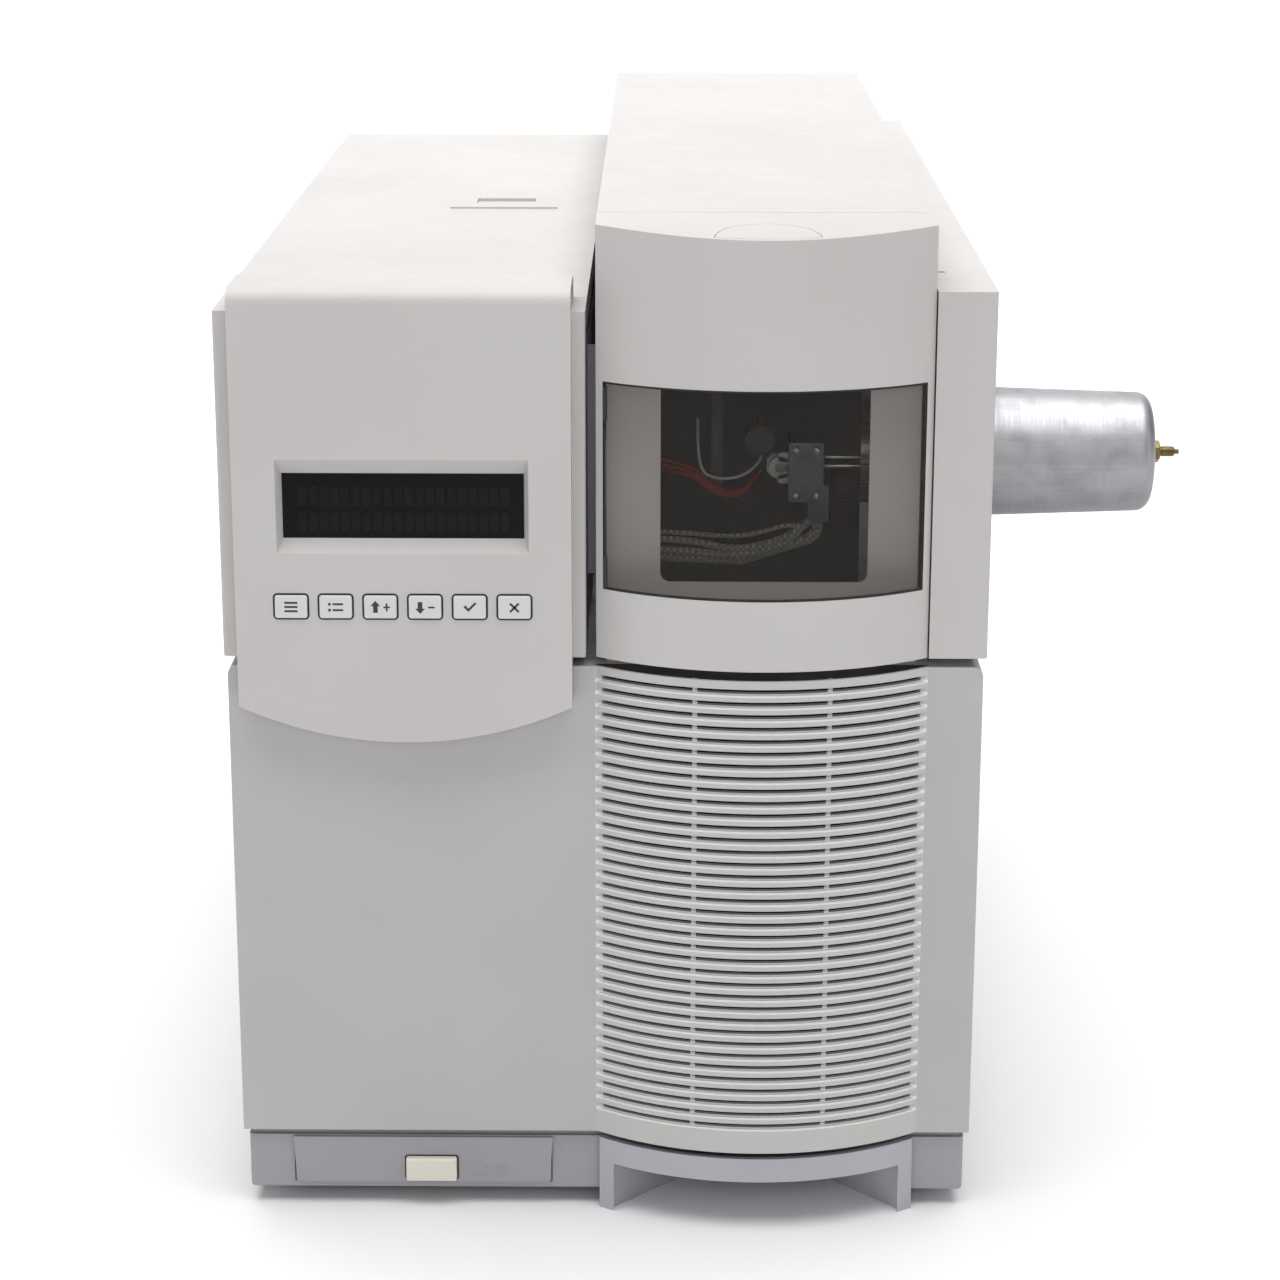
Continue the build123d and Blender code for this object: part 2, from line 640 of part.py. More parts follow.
# ================================================================= centre wall seen down the gap
wall_outer = left_inner - 0.3
wall_low, wall_high = deck_top + 25.0, left_top - 20.0
with BuildPart() as centre_wall:
    # sheet on two legs, clear of the cover's skirt above and of the cables below
    with BuildSketch(side_plane(wall_outer)):
        area(fascia_back + 2.0, back_y - 60.0, wall_low, wall_high)
        for leg_y in (fascia_back + 60.0, 0.0, back_y - 100.0):
            area(leg_y, leg_y + 30.0, deck_top, wall_low)
    extrude(amount=-sheet)
    with BuildSketch(level(deck_top)):
        area(wall_outer - 14.0, wall_outer, fascia_back + 60.0, back_y - 70.0)
    extrude(amount=sheet)
    with BuildSketch(level(wall_high - sheet)):
        area(wall_outer - 14.0, wall_outer, fascia_back + 2.0, back_y - 60.0)
    extrude(amount=sheet)
write(centre_wall, "centre_wall")

# ================================================================= window cover, bowed
pane_low, pane_high = upper_bottom + 28.2, column_top - 60.7
pane_side = 2.7             # frame left beside the pane
pane_thickness = 2.0
pane_gap = 0.3
latch_width = 41.0
latch_depth = 23.0          # from the bow's front back over the top
latch_gap = 0.35
latch_lip = 1.6             # front lip left in front of the latch
latch_thickness = 2.2
latch_travel = 3.0
window_back = fascia_back


def crown(thickness):
    """Side profile of the column's head: level behind, falling to the front; sketch in Y and Z."""
    top = column_top - thickness
    start_y = front_y + nose_start
    end_y = front_y - column_bow - 5
    drop = nose_radius - sqrt(nose_radius**2 - (start_y - end_y) ** 2)
    mid_y = (start_y + end_y) / 2
    mid_drop = nose_radius - sqrt(nose_radius**2 - (start_y - mid_y) ** 2)
    with BuildLine() as outline:
        ThreePointArc((end_y, top - drop), (mid_y, top - mid_drop), (start_y, top))
        Polyline((start_y, top), (back_y, top), (back_y, 0), (end_y, 0), (end_y, top - drop))
    make_face(outline.edges())


def latch_outline(margin):
    """Half-ellipse on the head of the column, opening on its bowed front edge."""
    with Locations((column_mid, front_y - column_bow)):
        Ellipse(latch_width / 2 + margin, latch_depth + margin)


with BuildPart() as window_hollow:
    with BuildSketch(level(upper_bottom - 1)):
        bow(shell_wall, window_back + 1)
    extrude(amount=column_top)
    with BuildSketch(side_plane(column_left)):
        crown(shell_wall)
    extrude(amount=column_width, mode=Mode.INTERSECT)

with BuildPart() as window_cover:
    with BuildSketch(level(upper_bottom)):
        bow(0, window_back)
    extrude(amount=column_top)
    with BuildSketch(side_plane(column_left)):
        crown(0)
    extrude(amount=column_width, mode=Mode.INTERSECT)
    add(window_hollow.part, mode=Mode.SUBTRACT)
    # opening for the pane
    with BuildSketch(front_plane(-column_bow - 5)):
        area(column_left + pane_side, column_right - pane_side, pane_low, pane_high)
    extrude(amount=-(column_bow + 5 + shell_wall + 1.5), mode=Mode.SUBTRACT)
    # pocket for the latch behind a thin front lip, with a shelf under it
    with BuildSketch(level(column_top - 12.0)):
        latch_outline(latch_gap)
        bow(latch_lip, front_y + 30, mode=Mode.INTERSECT)
    extrude(amount=20.0, mode=Mode.SUBTRACT)
    with BuildSketch(level(column_top - 14.0)):
        bow(0.2, front_y + 6.0)
        with Locations((column_mid, front_y + 6.0 + 20.0)):
            Rectangle(200.0, 40.0, mode=Mode.SUBTRACT)
        area(column_left - 1, column_mid - latch_width / 2 - 3,
             front_y - column_bow - 1, front_y + 7, mode=Mode.SUBTRACT)
        area(column_mid + latch_width / 2 + 3, column_right + 1,
             front_y - column_bow - 1, front_y + 7, mode=Mode.SUBTRACT)
    extrude(amount=2.0)
write(window_cover, "window_cover")

with BuildPart() as window_pane:
    with BuildSketch(level(pane_low + pane_gap)):
        bow(0.5, front_y + 8)
        bow(0.5 + pane_thickness, front_y + 9, mode=Mode.SUBTRACT)
    extrude(amount=pane_high - pane_low - 2 * pane_gap)
    with BuildSketch(level(0)):
        area(column_left + pane_side + pane_gap, column_right - pane_side - pane_gap,
             front_y - column_bow - 2, front_y + 3.6)
    extrude(amount=column_top, mode=Mode.INTERSECT)
write(window_pane, "window_pane")

with BuildPart() as window_latch:
    with BuildSketch(level(upper_bottom)):
        latch_outline(0)
        with Locations((column_mid, front_y - column_bow - 50)):
            Rectangle(300.0, 100.0, mode=Mode.SUBTRACT)
    extrude(amount=column_top)
    with BuildSketch(side_plane(column_left)):
        crown(0)
    extrude(amount=column_width, mode=Mode.INTERSECT)
    with BuildSketch(level(0)):
        bow(latch_lip + latch_gap, front_y + 20)
    extrude(amount=column_top, mode=Mode.INTERSECT)
    with BuildSketch(side_plane(column_left)):
        crown(latch_thickness)
    extrude(amount=column_width, mode=Mode.SUBTRACT)
    # plunger down towards the shelf
    with BuildSketch(level(column_top - 12.0 + latch_travel + 0.4)):
        with Locations((column_mid, front_y - 8.0)):
            Rectangle(14.0, 6.0)
    extrude(amount=12.0 - latch_travel - latch_thickness - 0.2)
write(window_latch, "window_latch")

# ================================================================= analyser cover
shoulder_x0 = column_right + 0.6
cover_right = case_width / 2 + upper_overhang
left_skirt = 30.0
knuckle_low = hinge_z + 3.0
with BuildPart() as analyser_cover:
    cover_front = window_back + cap_gap
    with BuildSketch(Plane.XZ.offset(-cover_front)):
        # section across the column and its shoulder
        with BuildLine():
            Polyline((column_left, column_top - left_skirt), (column_left, column_top),
                     (column_right, column_top),
                     (column_right, shoulder_top), (cover_right, shoulder_top), (cover_right, upper_bottom),
                     (cover_right - shell_wall, upper_bottom),
                     (cover_right - shell_wall, shoulder_top - shell_wall),
                     (column_right - shell_wall, shoulder_top - shell_wall),
                     (column_right - shell_wall, column_top - shell_wall),
                     (column_left + shell_wall, column_top - shell_wall),
                     (column_left + shell_wall, column_top - left_skirt), close=True)
        make_face()
    extrude(amount=-(back_y - cover_front))
    # shoulder carried on to the flat front
    with BuildSketch(Plane.XZ.offset(-fascia_front)):
        area(shoulder_x0, cover_right, upper_bottom, shoulder_top)
    extrude(amount=-(cover_front - fascia_front + 1))
    with BuildSketch(level(upper_bottom - 1)):
        area(shoulder_x0 + shell_wall, cover_right - shell_wall, fascia_front + shell_wall, cover_front + 2)
    extrude(amount=shoulder_top - shell_wall - upper_bottom + 1, mode=Mode.SUBTRACT)
    with BuildSketch(level(upper_bottom - 1)):
        area(shoulder_x0 - 1, shoulder_x0 + shell_wall + 0.1, cover_front - 6.0, cover_front + 2)
    extrude(amount=shoulder_top - shell_wall - upper_bottom + 1, mode=Mode.SUBTRACT)
    fillet(analyser_cover.edges().filter_by(Axis.Z).group_by(Axis.Y)[0].sort_by(Axis.X)[-1], radius=1.5)
    # back wall down to the hinge
    with BuildSketch(Plane.XZ.offset(-back_y)):
        area(column_left, cover_right, knuckle_low, shoulder_top - 1)
        area(column_left, column_right, knuckle_low, column_top - 1)
    extrude(amount=shell_wall)
    # the side stops short of the fixed rear panel
    with BuildSketch(side_plane(cover_right + 1)):
        area(hinge_y - 4, back_y + 1, upper_bottom - 1, knuckle_low)
    extrude(amount=-shell_wall - 2, mode=Mode.SUBTRACT)
    # slot for the transfer line, open downwards
    with BuildSketch(side_plane(cover_right + 1)):
        area(line_y - slot_front_room, line_y + slot_back_room, upper_bottom - 1, line_z)
        with Locations((line_y, line_z)):
            Circle(slot_front_room)
        area(line_y, line_y + slot_back_room, line_z - 1, line_z + slot_front_room)
    extrude(amount=-shell_wall - 2, mode=Mode.SUBTRACT)
    # finger notch where the shoulder meets the column
    with BuildSketch(level(shoulder_top - 1.6)):
        with Locations((shoulder_x0 + 2.5, front_y + 45.0)):
            SlotOverall(8.0, 3.0)
    extrude(amount=3.0, mode=Mode.SUBTRACT)
    # knuckles on the hinge pins
    for x in hinge_x:
        with BuildSketch(side_plane(x - knuckle_width / 2)):
            with Locations((hinge_y, hinge_z)):
                Circle(knuckle_radius)
            area(hinge_y, back_y - 0.5, hinge_z + knuckle_radius - 4.0, hinge_z + knuckle_radius + 6.0)
            with Locations((hinge_y, hinge_z)):
                Circle(hinge_pin_radius + hinge_fit, mode=Mode.SUBTRACT)
        extrude(amount=knuckle_width)
write(analyser_cover, "analyser_cover")

# ================================================================= upper rear wall and hinges
with BuildPart() as hinge_pins:
    for x in hinge_x:
        with BuildSketch(side_plane(x - knuckle_width / 2 - ear_gap - ear_width - 1)):
            with Locations((hinge_y, hinge_z)):
                Circle(hinge_pin_radius)
        extrude(amount=knuckle_width + 2 * (ear_gap + ear_width + 1))
write(hinge_pins, "hinge_pins")

upper_rear_top = hinge_z - 12.0
with BuildPart() as upper_rear_panel:
    with BuildSketch(Plane.XZ.offset(-back_y)):
        area(column_left + 1, cover_right - shell_wall - 1.5, deck_top, upper_rear_top)
    extrude(amount=sheet)
    with BuildSketch(level(deck_top)):
        area(column_left + 1, cover_right - shell_wall - 1.5 - 6, back_y - 24.0, back_y - sheet)
    extrude(amount=sheet)
write(upper_rear_panel, "upper_rear_panel")

reach = knuckle_width / 2 + ear_gap + ear_width
with BuildPart() as hinge_brackets:
    for x in hinge_x:
        # two ears on a foot that bolts to the rear panel
        with BuildSketch(side_plane(x - reach)):
            with Locations((hinge_y, hinge_z)):
                Circle(knuckle_radius)
            area(hinge_y - knuckle_radius, hinge_y + 1.5, upper_rear_top - 24, hinge_z)
            area(hinge_y - knuckle_radius, back_y - sheet, upper_rear_top - 24, upper_rear_top - 4)
            with Locations((hinge_y, hinge_z)):
                Circle(hinge_pin_radius + 0.02, mode=Mode.SUBTRACT)
        extrude(amount=2 * reach)
        with BuildSketch(side_plane(x - reach + ear_width)):
            area(hinge_y - 20, back_y, upper_rear_top - 8, hinge_z + 20)
        extrude(amount=2 * (reach - ear_width), mode=Mode.SUBTRACT)
write(hinge_brackets, "hinge_brackets")

# ================================================================= frame behind the window
frame_y = front_y + 8.0
frame_foot = 26.0
with BuildPart() as inner_frame:
    with BuildSketch(Plane.XZ.offset(-frame_y)):
        area(column_left + 4, column_right - 4, deck_top, column_top - 6)
        area(column_mid - 40.3, column_mid + 41.6, pane_low, pane_high + 1.7, mode=Mode.SUBTRACT)
    extrude(amount=-2.0)
    fillet(inner_frame.edges().filter_by(Axis.Y).group_by(Axis.Z)[1], radius=4.0)
    with BuildSketch(level(deck_top)):
        area(column_left + 4, column_right - 4, frame_y, frame_y + frame_foot)
    extrude(amount=2.0)
write(inner_frame, "inner_frame")

# ================================================================= analyser chamber and what bolts to it
bore_radius = 34.0
chamber_mid_x = (chamber_left + chamber_right) / 2
chamber_mid_z = (chamber_low + chamber_high) / 2
knob_x, knob_z = 61.6, 309.5
stem_radius = 3.0
stem_length = 24.0
with BuildPart() as analyser_chamber:
    # machined block, open on its left side under the side plate
    with BuildSketch(Plane.XZ.offset(-chamber_front)):
        area(chamber_left, chamber_right, chamber_low, chamber_high)
    extrude(amount=-(chamber_back - chamber_front))
    fillet(analyser_chamber.edges().filter_by(Axis.Y), radius=3.0)
    with BuildSketch(side_plane(chamber_left - 1)):
        area(chamber_front + chamber_wall, chamber_back - chamber_wall,
             chamber_low + chamber_wall, chamber_high - chamber_wall)
    extrude(amount=chamber_right - chamber_left - chamber_wall + 1, mode=Mode.SUBTRACT)
    # stem of the vent valve in the front end
    with BuildSketch(Plane.XZ.offset(-chamber_front)):
        with Locations((knob_x, knob_z)):
            Circle(stem_radius)
    extrude(amount=stem_length)
    # port for the transfer line in the right side
    with BuildSketch(side_plane(chamber_right - chamber_wall - 1)):
        with Locations((line_y, line_z)):
            Circle(line_tube_radius + 0.3)
    extrude(amount=chamber_wall + 2, mode=Mode.SUBTRACT)
    # throat down to the pump
    with BuildSketch(level(chamber_low - 1)):
        with Locations((chamber_mid_x, pump_y)):
            Circle(bore_radius - 6)
    extrude(amount=chamber_wall + 2, mode=Mode.SUBTRACT)
write(analyser_chamber, "analyser_chamber")

with BuildPart() as side_plate:
    with BuildSketch(side_plane(chamber_left)):
        with Locations(((chamber_front + chamber_back) / 2, chamber_mid_z)):
            RectangleRounded(chamber_back - chamber_front - 2, chamber_high - chamber_low - 2, 6.0)
    extrude(amount=-side_plate_thickness)
    with BuildSketch(side_plane(chamber_left - side_plate_thickness)):
        with Locations(((chamber_front + chamber_back) / 2, chamber_mid_z)):
            RectangleRounded(240.0, 46.0, 6.0)
    extrude(amount=3.0, mode=Mode.SUBTRACT)
write(side_plate, "side_plate")

with BuildPart() as thumbscrews:
    for y in (chamber_front + 14.0, chamber_back - 14.0):
        with BuildSketch(side_plane(chamber_left - side_plate_thickness)):
            with Locations((y, chamber_mid_z)):
                Circle(8.0)
                with PolarLocations(8.0, 12):
                    Circle(0.9, mode=Mode.SUBTRACT)
        extrude(amount=-9.0)
write(thumbscrews, "thumbscrews")

# chamber feet stand it on the deck
with BuildPart() as chamber_feet:
    for y in (chamber_front + 20.0, chamber_back - 40.0):
        with BuildSketch(Plane.XZ.offset(-y)):
            area(chamber_left + 4, chamber_right - 4, deck_top, chamber_low)
            area(chamber_left + 18, chamber_right - 18, deck_top, chamber_low - 4, mode=Mode.SUBTRACT)
        extrude(amount=-22.0)
write(chamber_feet, "chamber_feet")

# ion source, mass filter and detector on the side plate's axis
source_front = chamber_front + chamber_wall + 1.5
source_length = 30.0
rod_radius = 5.2
rod_spread = 11.0
filter_front = source_front + source_length + 10.0
filter_length = 200.0
with BuildPart() as ion_source:
    with BuildSketch(Plane.XZ.offset(-source_front)):
        with Locations((chamber_mid_x - 2, line_z)):
            Circle(19.0)
            Circle(6.0, mode=Mode.SUBTRACT)
    extrude(amount=-source_length)
    with BuildSketch(Plane.XZ.offset(-source_front - source_length)):
        with Locations((chamber_mid_x - 2, line_z)):
            Circle(22.5)
            Circle(3.0, mode=Mode.SUBTRACT)
    extrude(amount=-4.0)
    with BuildSketch(side_plane(chamber_left)):
        with Locations((source_front + source_length / 2, line_z)):
            Rectangle(14.0, 20.0)
    extrude(amount=chamber_mid_x - 2 - 16 - chamber_left)
write(ion_source, "ion_source")

with BuildPart() as mass_filter:
    # four parallel rods in two ceramic-seated collars
    with BuildSketch(Plane.XZ.offset(-filter_front)):
        with Locations((chamber_mid_x - 2, line_z)):
            with PolarLocations(rod_spread, 4, start_angle=45):
                Circle(rod_radius)
    extrude(amount=-filter_length)
    for y in (filter_front + 20.0, filter_front + filter_length - 40.0):
        with BuildSketch(Plane.XZ.offset(-y)):
            with Locations((chamber_mid_x - 2, line_z)):
                Circle(22.0)
                Circle(12.0, mode=Mode.SUBTRACT)
        extrude(amount=-20.0)
write(mass_filter, "mass_filter")

with BuildPart() as filter_brackets:
    for y in (filter_front + 24.0, filter_front + filter_length - 36.0):
        with BuildSketch(Plane.XZ.offset(-y)):
            area(chamber_left, chamber_mid_x - 2, line_z - 16.0, line_z + 16.0)
            with Locations((chamber_mid_x - 2, line_z)):
                Circle(22.3, mode=Mode.SUBTRACT)
        extrude(amount=-12.0)
write(filter_brackets, "filter_brackets")

detector_front = filter_front + filter_length + 6.0
with BuildPart() as detector:
    with BuildSketch(Plane.XZ.offset(-detector_front)):
        area(chamber_left, chamber_mid_x + 18.0, line_z - 20.0, line_z + 20.0)
    extrude(amount=-(chamber_back - chamber_wall - detector_front - 1.0))
    with BuildSketch(Plane.XZ.offset(-detector_front)):
        with Locations((chamber_mid_x - 2, line_z)):
            Circle(9.0)
    extrude(amount=-24.0, mode=Mode.SUBTRACT)
    fillet(detector.edges().filter_by(Axis.Y).group_by(Axis.X)[-1], radius=8.0)
write(detector, "detector")

# ================================================================= turbo pump through the deck
pump_x = chamber_mid_x
flange_radius = 48.0
with BuildPart() as turbo_pump:
    with BuildSketch(level(pump_low)):
        with Locations((pump_x, pump_y)):
            Circle(pump_radius)
    extrude(amount=chamber_low - pump_low)
    with BuildSketch(level(chamber_low - 10.0)):
        with Locations((pump_x, pump_y)):
            Circle(flange_radius)
    extrude(amount=10.0)
    # cooling fins round the body
    for fin in range(6):
        with BuildSketch(level(pump_low + 18.0 + fin * 9.0)):
            with Locations((pump_x, pump_y)):
                Circle(pump_radius + 1)
                Circle(pump_radius - 4, mode=Mode.SUBTRACT)
        extrude(amount=4.0, mode=Mode.SUBTRACT)
    # bore of the inlet
    with BuildSketch(level(chamber_low)):
        with Locations((pump_x, pump_y)):
            Circle(bore_radius - 4)
    extrude(amount=-30.0, mode=Mode.SUBTRACT)
    # drive under the body and the outlet at its side
    with BuildSketch(level(pump_low)):
        with Locations((pump_x, pump_y)):
            Circle(30.0)
    extrude(amount=-26.0)
    with BuildSketch(Plane.XZ.offset(-pump_y)):
        with Locations((pump_x + 24.0, pump_low + 9.0)):
            Circle(7.0)
    extrude(amount=-(pump_radius + 12))
write(turbo_pump, "turbo_pump")

# ================================================================= cooling fan behind the louvres
fan_x = column_mid
blade_count = 7
hub_radius = 15.0
spindle_radius = 2.0
with BuildPart() as fan_frame:
    with BuildSketch(Plane.XZ.offset(-fan_y)):
        with Locations((fan_x, fan_z)):
            RectangleRounded(fan_size, fan_size, 4.0)
            Circle(fan_bore, mode=Mode.SUBTRACT)
            with GridLocations(fan_size - 9.5, fan_size - 9.5, 2, 2):
                Circle(2.2, mode=Mode.SUBTRACT)
    extrude(amount=-fan_depth)
    # motor plate on three arms at the back
    with BuildSketch(Plane.XZ.offset(-fan_y - fan_depth + 3.0)):
        with Locations((fan_x, fan_z)):
            Circle(hub_radius)
            for arm in range(3):
                with Locations(Location((0, 0, 0), (0, 0, 30 + 120 * arm))):
                    Rectangle(fan_bore + 1, 5.0, align=(Align.MIN, Align.CENTER))
    extrude(amount=-3.0)
    # spindle that the rotor turns on
    with BuildSketch(Plane.XZ.offset(-fan_y - fan_depth + 3.0)):
        with Locations((fan_x, fan_z)):
            Circle(spindle_radius)
    extrude(amount=14.0)
write(fan_frame, "fan_frame")

with BuildSketch() as fan_blade:
    # one swept blade, drawn from the hub outwards
    with BuildLine():
        ThreePointArc((hub_radius - 1, 2), (hub_radius + 13, 8), (fan_bore - 2.5, 6))
        ThreePointArc((fan_bore - 2.5, 6), (fan_bore - 2.0, -1), (fan_bore - 2.5, -8))
        ThreePointArc((fan_bore - 2.5, -8), (hub_radius + 12, 4), (hub_radius - 1, -2))
        Line((hub_radius - 1, -2), (hub_radius - 1, 2))
    make_face()

with BuildPart() as fan_rotor:
    with BuildSketch(Plane.XZ.offset(-fan_y - 3.0)):
        with Locations((fan_x, fan_z)):
            Circle(hub_radius)
    extrude(amount=-(fan_depth - 7.0))
    with BuildSketch(Plane.XZ.offset(-fan_y - 3.0)):
        with Locations((fan_x, fan_z)):
            with PolarLocations(0, blade_count):
                add(fan_blade.sketch)
    extrude(amount=-(fan_depth - 9.0))
    with BuildSketch(Plane.XZ.offset(-fan_y - fan_depth)):
        with Locations((fan_x, fan_z)):
            Circle(spindle_radius + 0.05)
    extrude(amount=fan_depth - 7.0, mode=Mode.SUBTRACT)
write(fan_rotor, "fan_rotor")

fan_bracket_y = fan_y + fan_depth
with BuildPart() as fan_bracket:
    with BuildSketch(Plane.XZ.offset(-fan_bracket_y)):
        area(fan_x - fan_size / 2 - 4, fan_x + fan_size / 2 + 4, tray_floor, fan_z + fan_size / 2 + 2)
        with Locations((fan_x, fan_z)):
            Circle(fan_bore, mode=Mode.SUBTRACT)
        area(fan_x - fan_size / 2 + 10, fan_x + fan_size / 2 - 10, tray_floor + 12, fan_z - fan_size / 2 - 4,
             mode=Mode.SUBTRACT)
    extrude(amount=-sheet)
    with BuildSketch(level(tray_floor)):
        area(fan_x - fan_size / 2 - 4, fan_x + fan_size / 2 + 4, fan_bracket_y, fan_bracket_y + 16.0)
    extrude(amount=sheet)
write(fan_bracket, "fan_bracket")

# ================================================================= electronics in the lower bay
supply_left = -case_width / 2 + 12.0
supply_width = 110.0
supply_height = 70.0
with BuildPart() as power_supply:
    with BuildSketch(level(tray_floor)):
        area(supply_left, supply_left + supply_width, back_y - 230.0, back_y - 44.0)
    extrude(amount=supply_height)
    fillet(power_supply.edges().filter_by(Axis.Z), radius=2.0)
    with BuildSketch(level(tray_floor + supply_height)):
        with Locations((supply_left + supply_width / 2, back_y - 137.0)):
            with GridLocations(12.0, 24.0, 7, 5):
                SlotOverall(18.0, 4.0, rotation=90)
    extrude(amount=-3.0, mode=Mode.SUBTRACT)
write(power_supply, "power_supply")

with BuildPart() as main_board:
    with BuildSketch(side_plane(board_x)):
        area(board_front, board_back, board_low, board_high)
    extrude(amount=board_thickness)
    with BuildSketch(side_plane(board_x + board_thickness)):
        with Locations((front_y + 120.0, 130.0), (front_y + 190.0, 80.0), (front_y + 240.0, 150.0)):
            Rectangle(28.0, 28.0)
    extrude(amount=3.5)
    with BuildSketch(side_plane(board_x + board_thickness)):
        with Locations((front_y + 110.0, 178.0), (front_y + 180.0, 178.0), (front_y + 250.0, 178.0)):
            Rectangle(44.0, 9.0)
    extrude(amount=9.0)
write(main_board, "main_board")

with BuildPart() as driver_box:
    with BuildSketch(level(chamber_high)):
        area(chamber_left + 4, chamber_right - 2, filter_front + 30.0, filter_front + 170.0)
    extrude(amount=column_top - shell_wall - 17.5 - chamber_high)
    fillet(driver_box.edges().filter_by(Axis.Z), radius=2.0)
write(driver_box, "driver_box")

# ================================================================= transfer line
case_side = case_width / 2 + upper_overhang
cup_tip_x = case_side + cup_length_out
cup_root_x = case_side - 18.0
with BuildPart() as line_tube:
    # stainless tube from the chamber through the insulated cup
    with BuildSketch(side_plane(chamber_right - chamber_wall)):
        with Locations((line_y, line_z)):
            Circle(line_tube_radius)
    extrude(amount=cup_tip_x - cup_wall - chamber_right + chamber_wall)
    # bolted flange outside the chamber
    with BuildSketch(side_plane(chamber_right)):
        with Locations((line_y, line_z)):
            Circle(22.0)
    extrude(amount=6.0)
    # collar that centres the cup's root
    with BuildSketch(side_plane(cup_root_x)):
        with Locations((line_y, line_z)):
            Circle(cup_root_radius - cup_wall - 0.6)
    extrude(amount=8.0)
write(line_tube, "line_tube")

with BuildPart() as line_cup:
    # drawn aluminium cup with a rolled shoulder at its tip
    with BuildSketch(Plane.XY.offset(line_z)):
        with BuildLine():
            root = (cup_root_x, line_y - cup_root_radius)
            shoulder = (cup_tip_x - cup_edge_radius, line_y - cup_tip_radius)
            Line(root, shoulder)
            ThreePointArc(shoulder,
                          (cup_tip_x - cup_edge_radius * (1 - sin(radians(45))),
                           line_y - cup_tip_radius + cup_edge_radius * (1 - cos(radians(45)))),
                          (cup_tip_x, line_y - cup_tip_radius + cup_edge_radius))
            Polyline((cup_tip_x, line_y - cup_tip_radius + cup_edge_radius), (cup_tip_x, line_y),
                     (cup_root_x, line_y), root)
        make_face()
    revolve(axis=Axis((cup_root_x, line_y, line_z), (1, 0, 0)))
    offset(amount=-cup_wall, openings=line_cup.faces().filter_by(Axis.X).sort_by(Axis.X)[0])
    # hole the column fitting passes through
    with BuildSketch(side_plane(cup_tip_x - cup_wall - 1)):
        with Locations((line_y, line_z)):
            Circle(fitting_root_radius + 0.4)
    extrude(amount=cup_wall + 2, mode=Mode.SUBTRACT)
write(line_cup, "line_cup")

with BuildPart() as column_nut:
    with BuildSketch(side_plane(cup_tip_x)):
        with Locations((line_y, line_z)):
            RegularPolygon(nut_across_flats / 2, 6, major_radius=False, rotation=30)
            Circle(fitting_root_radius + 0.05, mode=Mode.SUBTRACT)
    extrude(amount=nut_length)
    chamfer(column_nut.faces().sort_by(Axis.X)[-1].outer_wire().edges(), length=0.5)
write(column_nut, "column_nut")

relief = 0.5
with BuildPart() as column_fitting:
    # root held by the nut, a relief, the plain seat for the mating part and a narrow tip
    with BuildSketch(side_plane(cup_tip_x - cup_wall)):
        with Locations((line_y, line_z)):
            Circle(fitting_root_radius)
    extrude(amount=cup_wall + nut_length)
    with BuildSketch(side_plane(cup_tip_x + nut_length)):
        with Locations((line_y, line_z)):
            Circle(fitting_radius - 0.4)
    extrude(amount=relief)
    with BuildSketch(side_plane(cup_tip_x + nut_length + relief)):
        with Locations((line_y, line_z)):
            Circle(fitting_radius)
    extrude(amount=fitting_length - relief)
    chamfer(column_fitting.faces().sort_by(Axis.X)[-1].outer_wire().edges(), length=0.4)
    with BuildSketch(side_plane(cup_tip_x + nut_length + fitting_length)):
        with Locations((line_y, line_z)):
            Circle(1.1)
    extrude(amount=1.8)
    with Locations(Plane((cup_tip_x - cup_wall, line_y, line_z), z_dir=(-1, 0, 0))):
        Hole(radius=0.5)
write(column_fitting, "column_fitting")

# ================================================================= calibration valve and vent knob
valve_low = 274.7
with BuildPart() as calibration_valve:
    with BuildSketch(Plane.XZ.offset(-chamber_front)):
        area(73.7, 87.7, 283.0, 307.7)
        area(81.5, 90.0, valve_low, 290.0)
    extrude(amount=22.0)
    fillet(calibration_valve.edges().filter_by(Axis.Y), radius=0.8)
write(calibration_valve, "calibration_valve")

knob_radius = 6.0
knob_length = 17.0
knob_stand_off = 9.0
with BuildPart() as vent_knob:
    with BuildSketch(Plane.XZ.offset(-chamber_front + knob_stand_off)):
        with Locations((knob_x, knob_z)):
            Circle(knob_radius)
            with PolarLocations(knob_radius, 16):
                Circle(0.6, mode=Mode.SUBTRACT)
    extrude(amount=knob_length)
    with Locations(Plane((knob_x, chamber_front - knob_stand_off, knob_z), z_dir=(0, 1, 0))):
        Hole(radius=stem_radius + 0.05, depth=stem_length - knob_stand_off + 0.3)
write(vent_knob, "vent_knob")

# ================================================================= switch panel and power button
with BuildPart() as switch_panel:
    with BuildSketch(Plane.XZ.offset(-tray_front)):
        with BuildLine():
            Polyline((panel_left - 0.6, tray_top - 0.6), (panel_right + 0.6, tray_top - 0.6),
                     (panel_right - 0.6, panel_low), (panel_left + 0.6, panel_low), close=True)
        make_face()
        with Locations((button_x, button_z)):
            RectangleRounded(button_width + 2 * button_gap, button_height + 2 * button_gap, 1.0,
                             mode=Mode.SUBTRACT)
    extrude(amount=1.2)
write(switch_panel, "switch_panel")

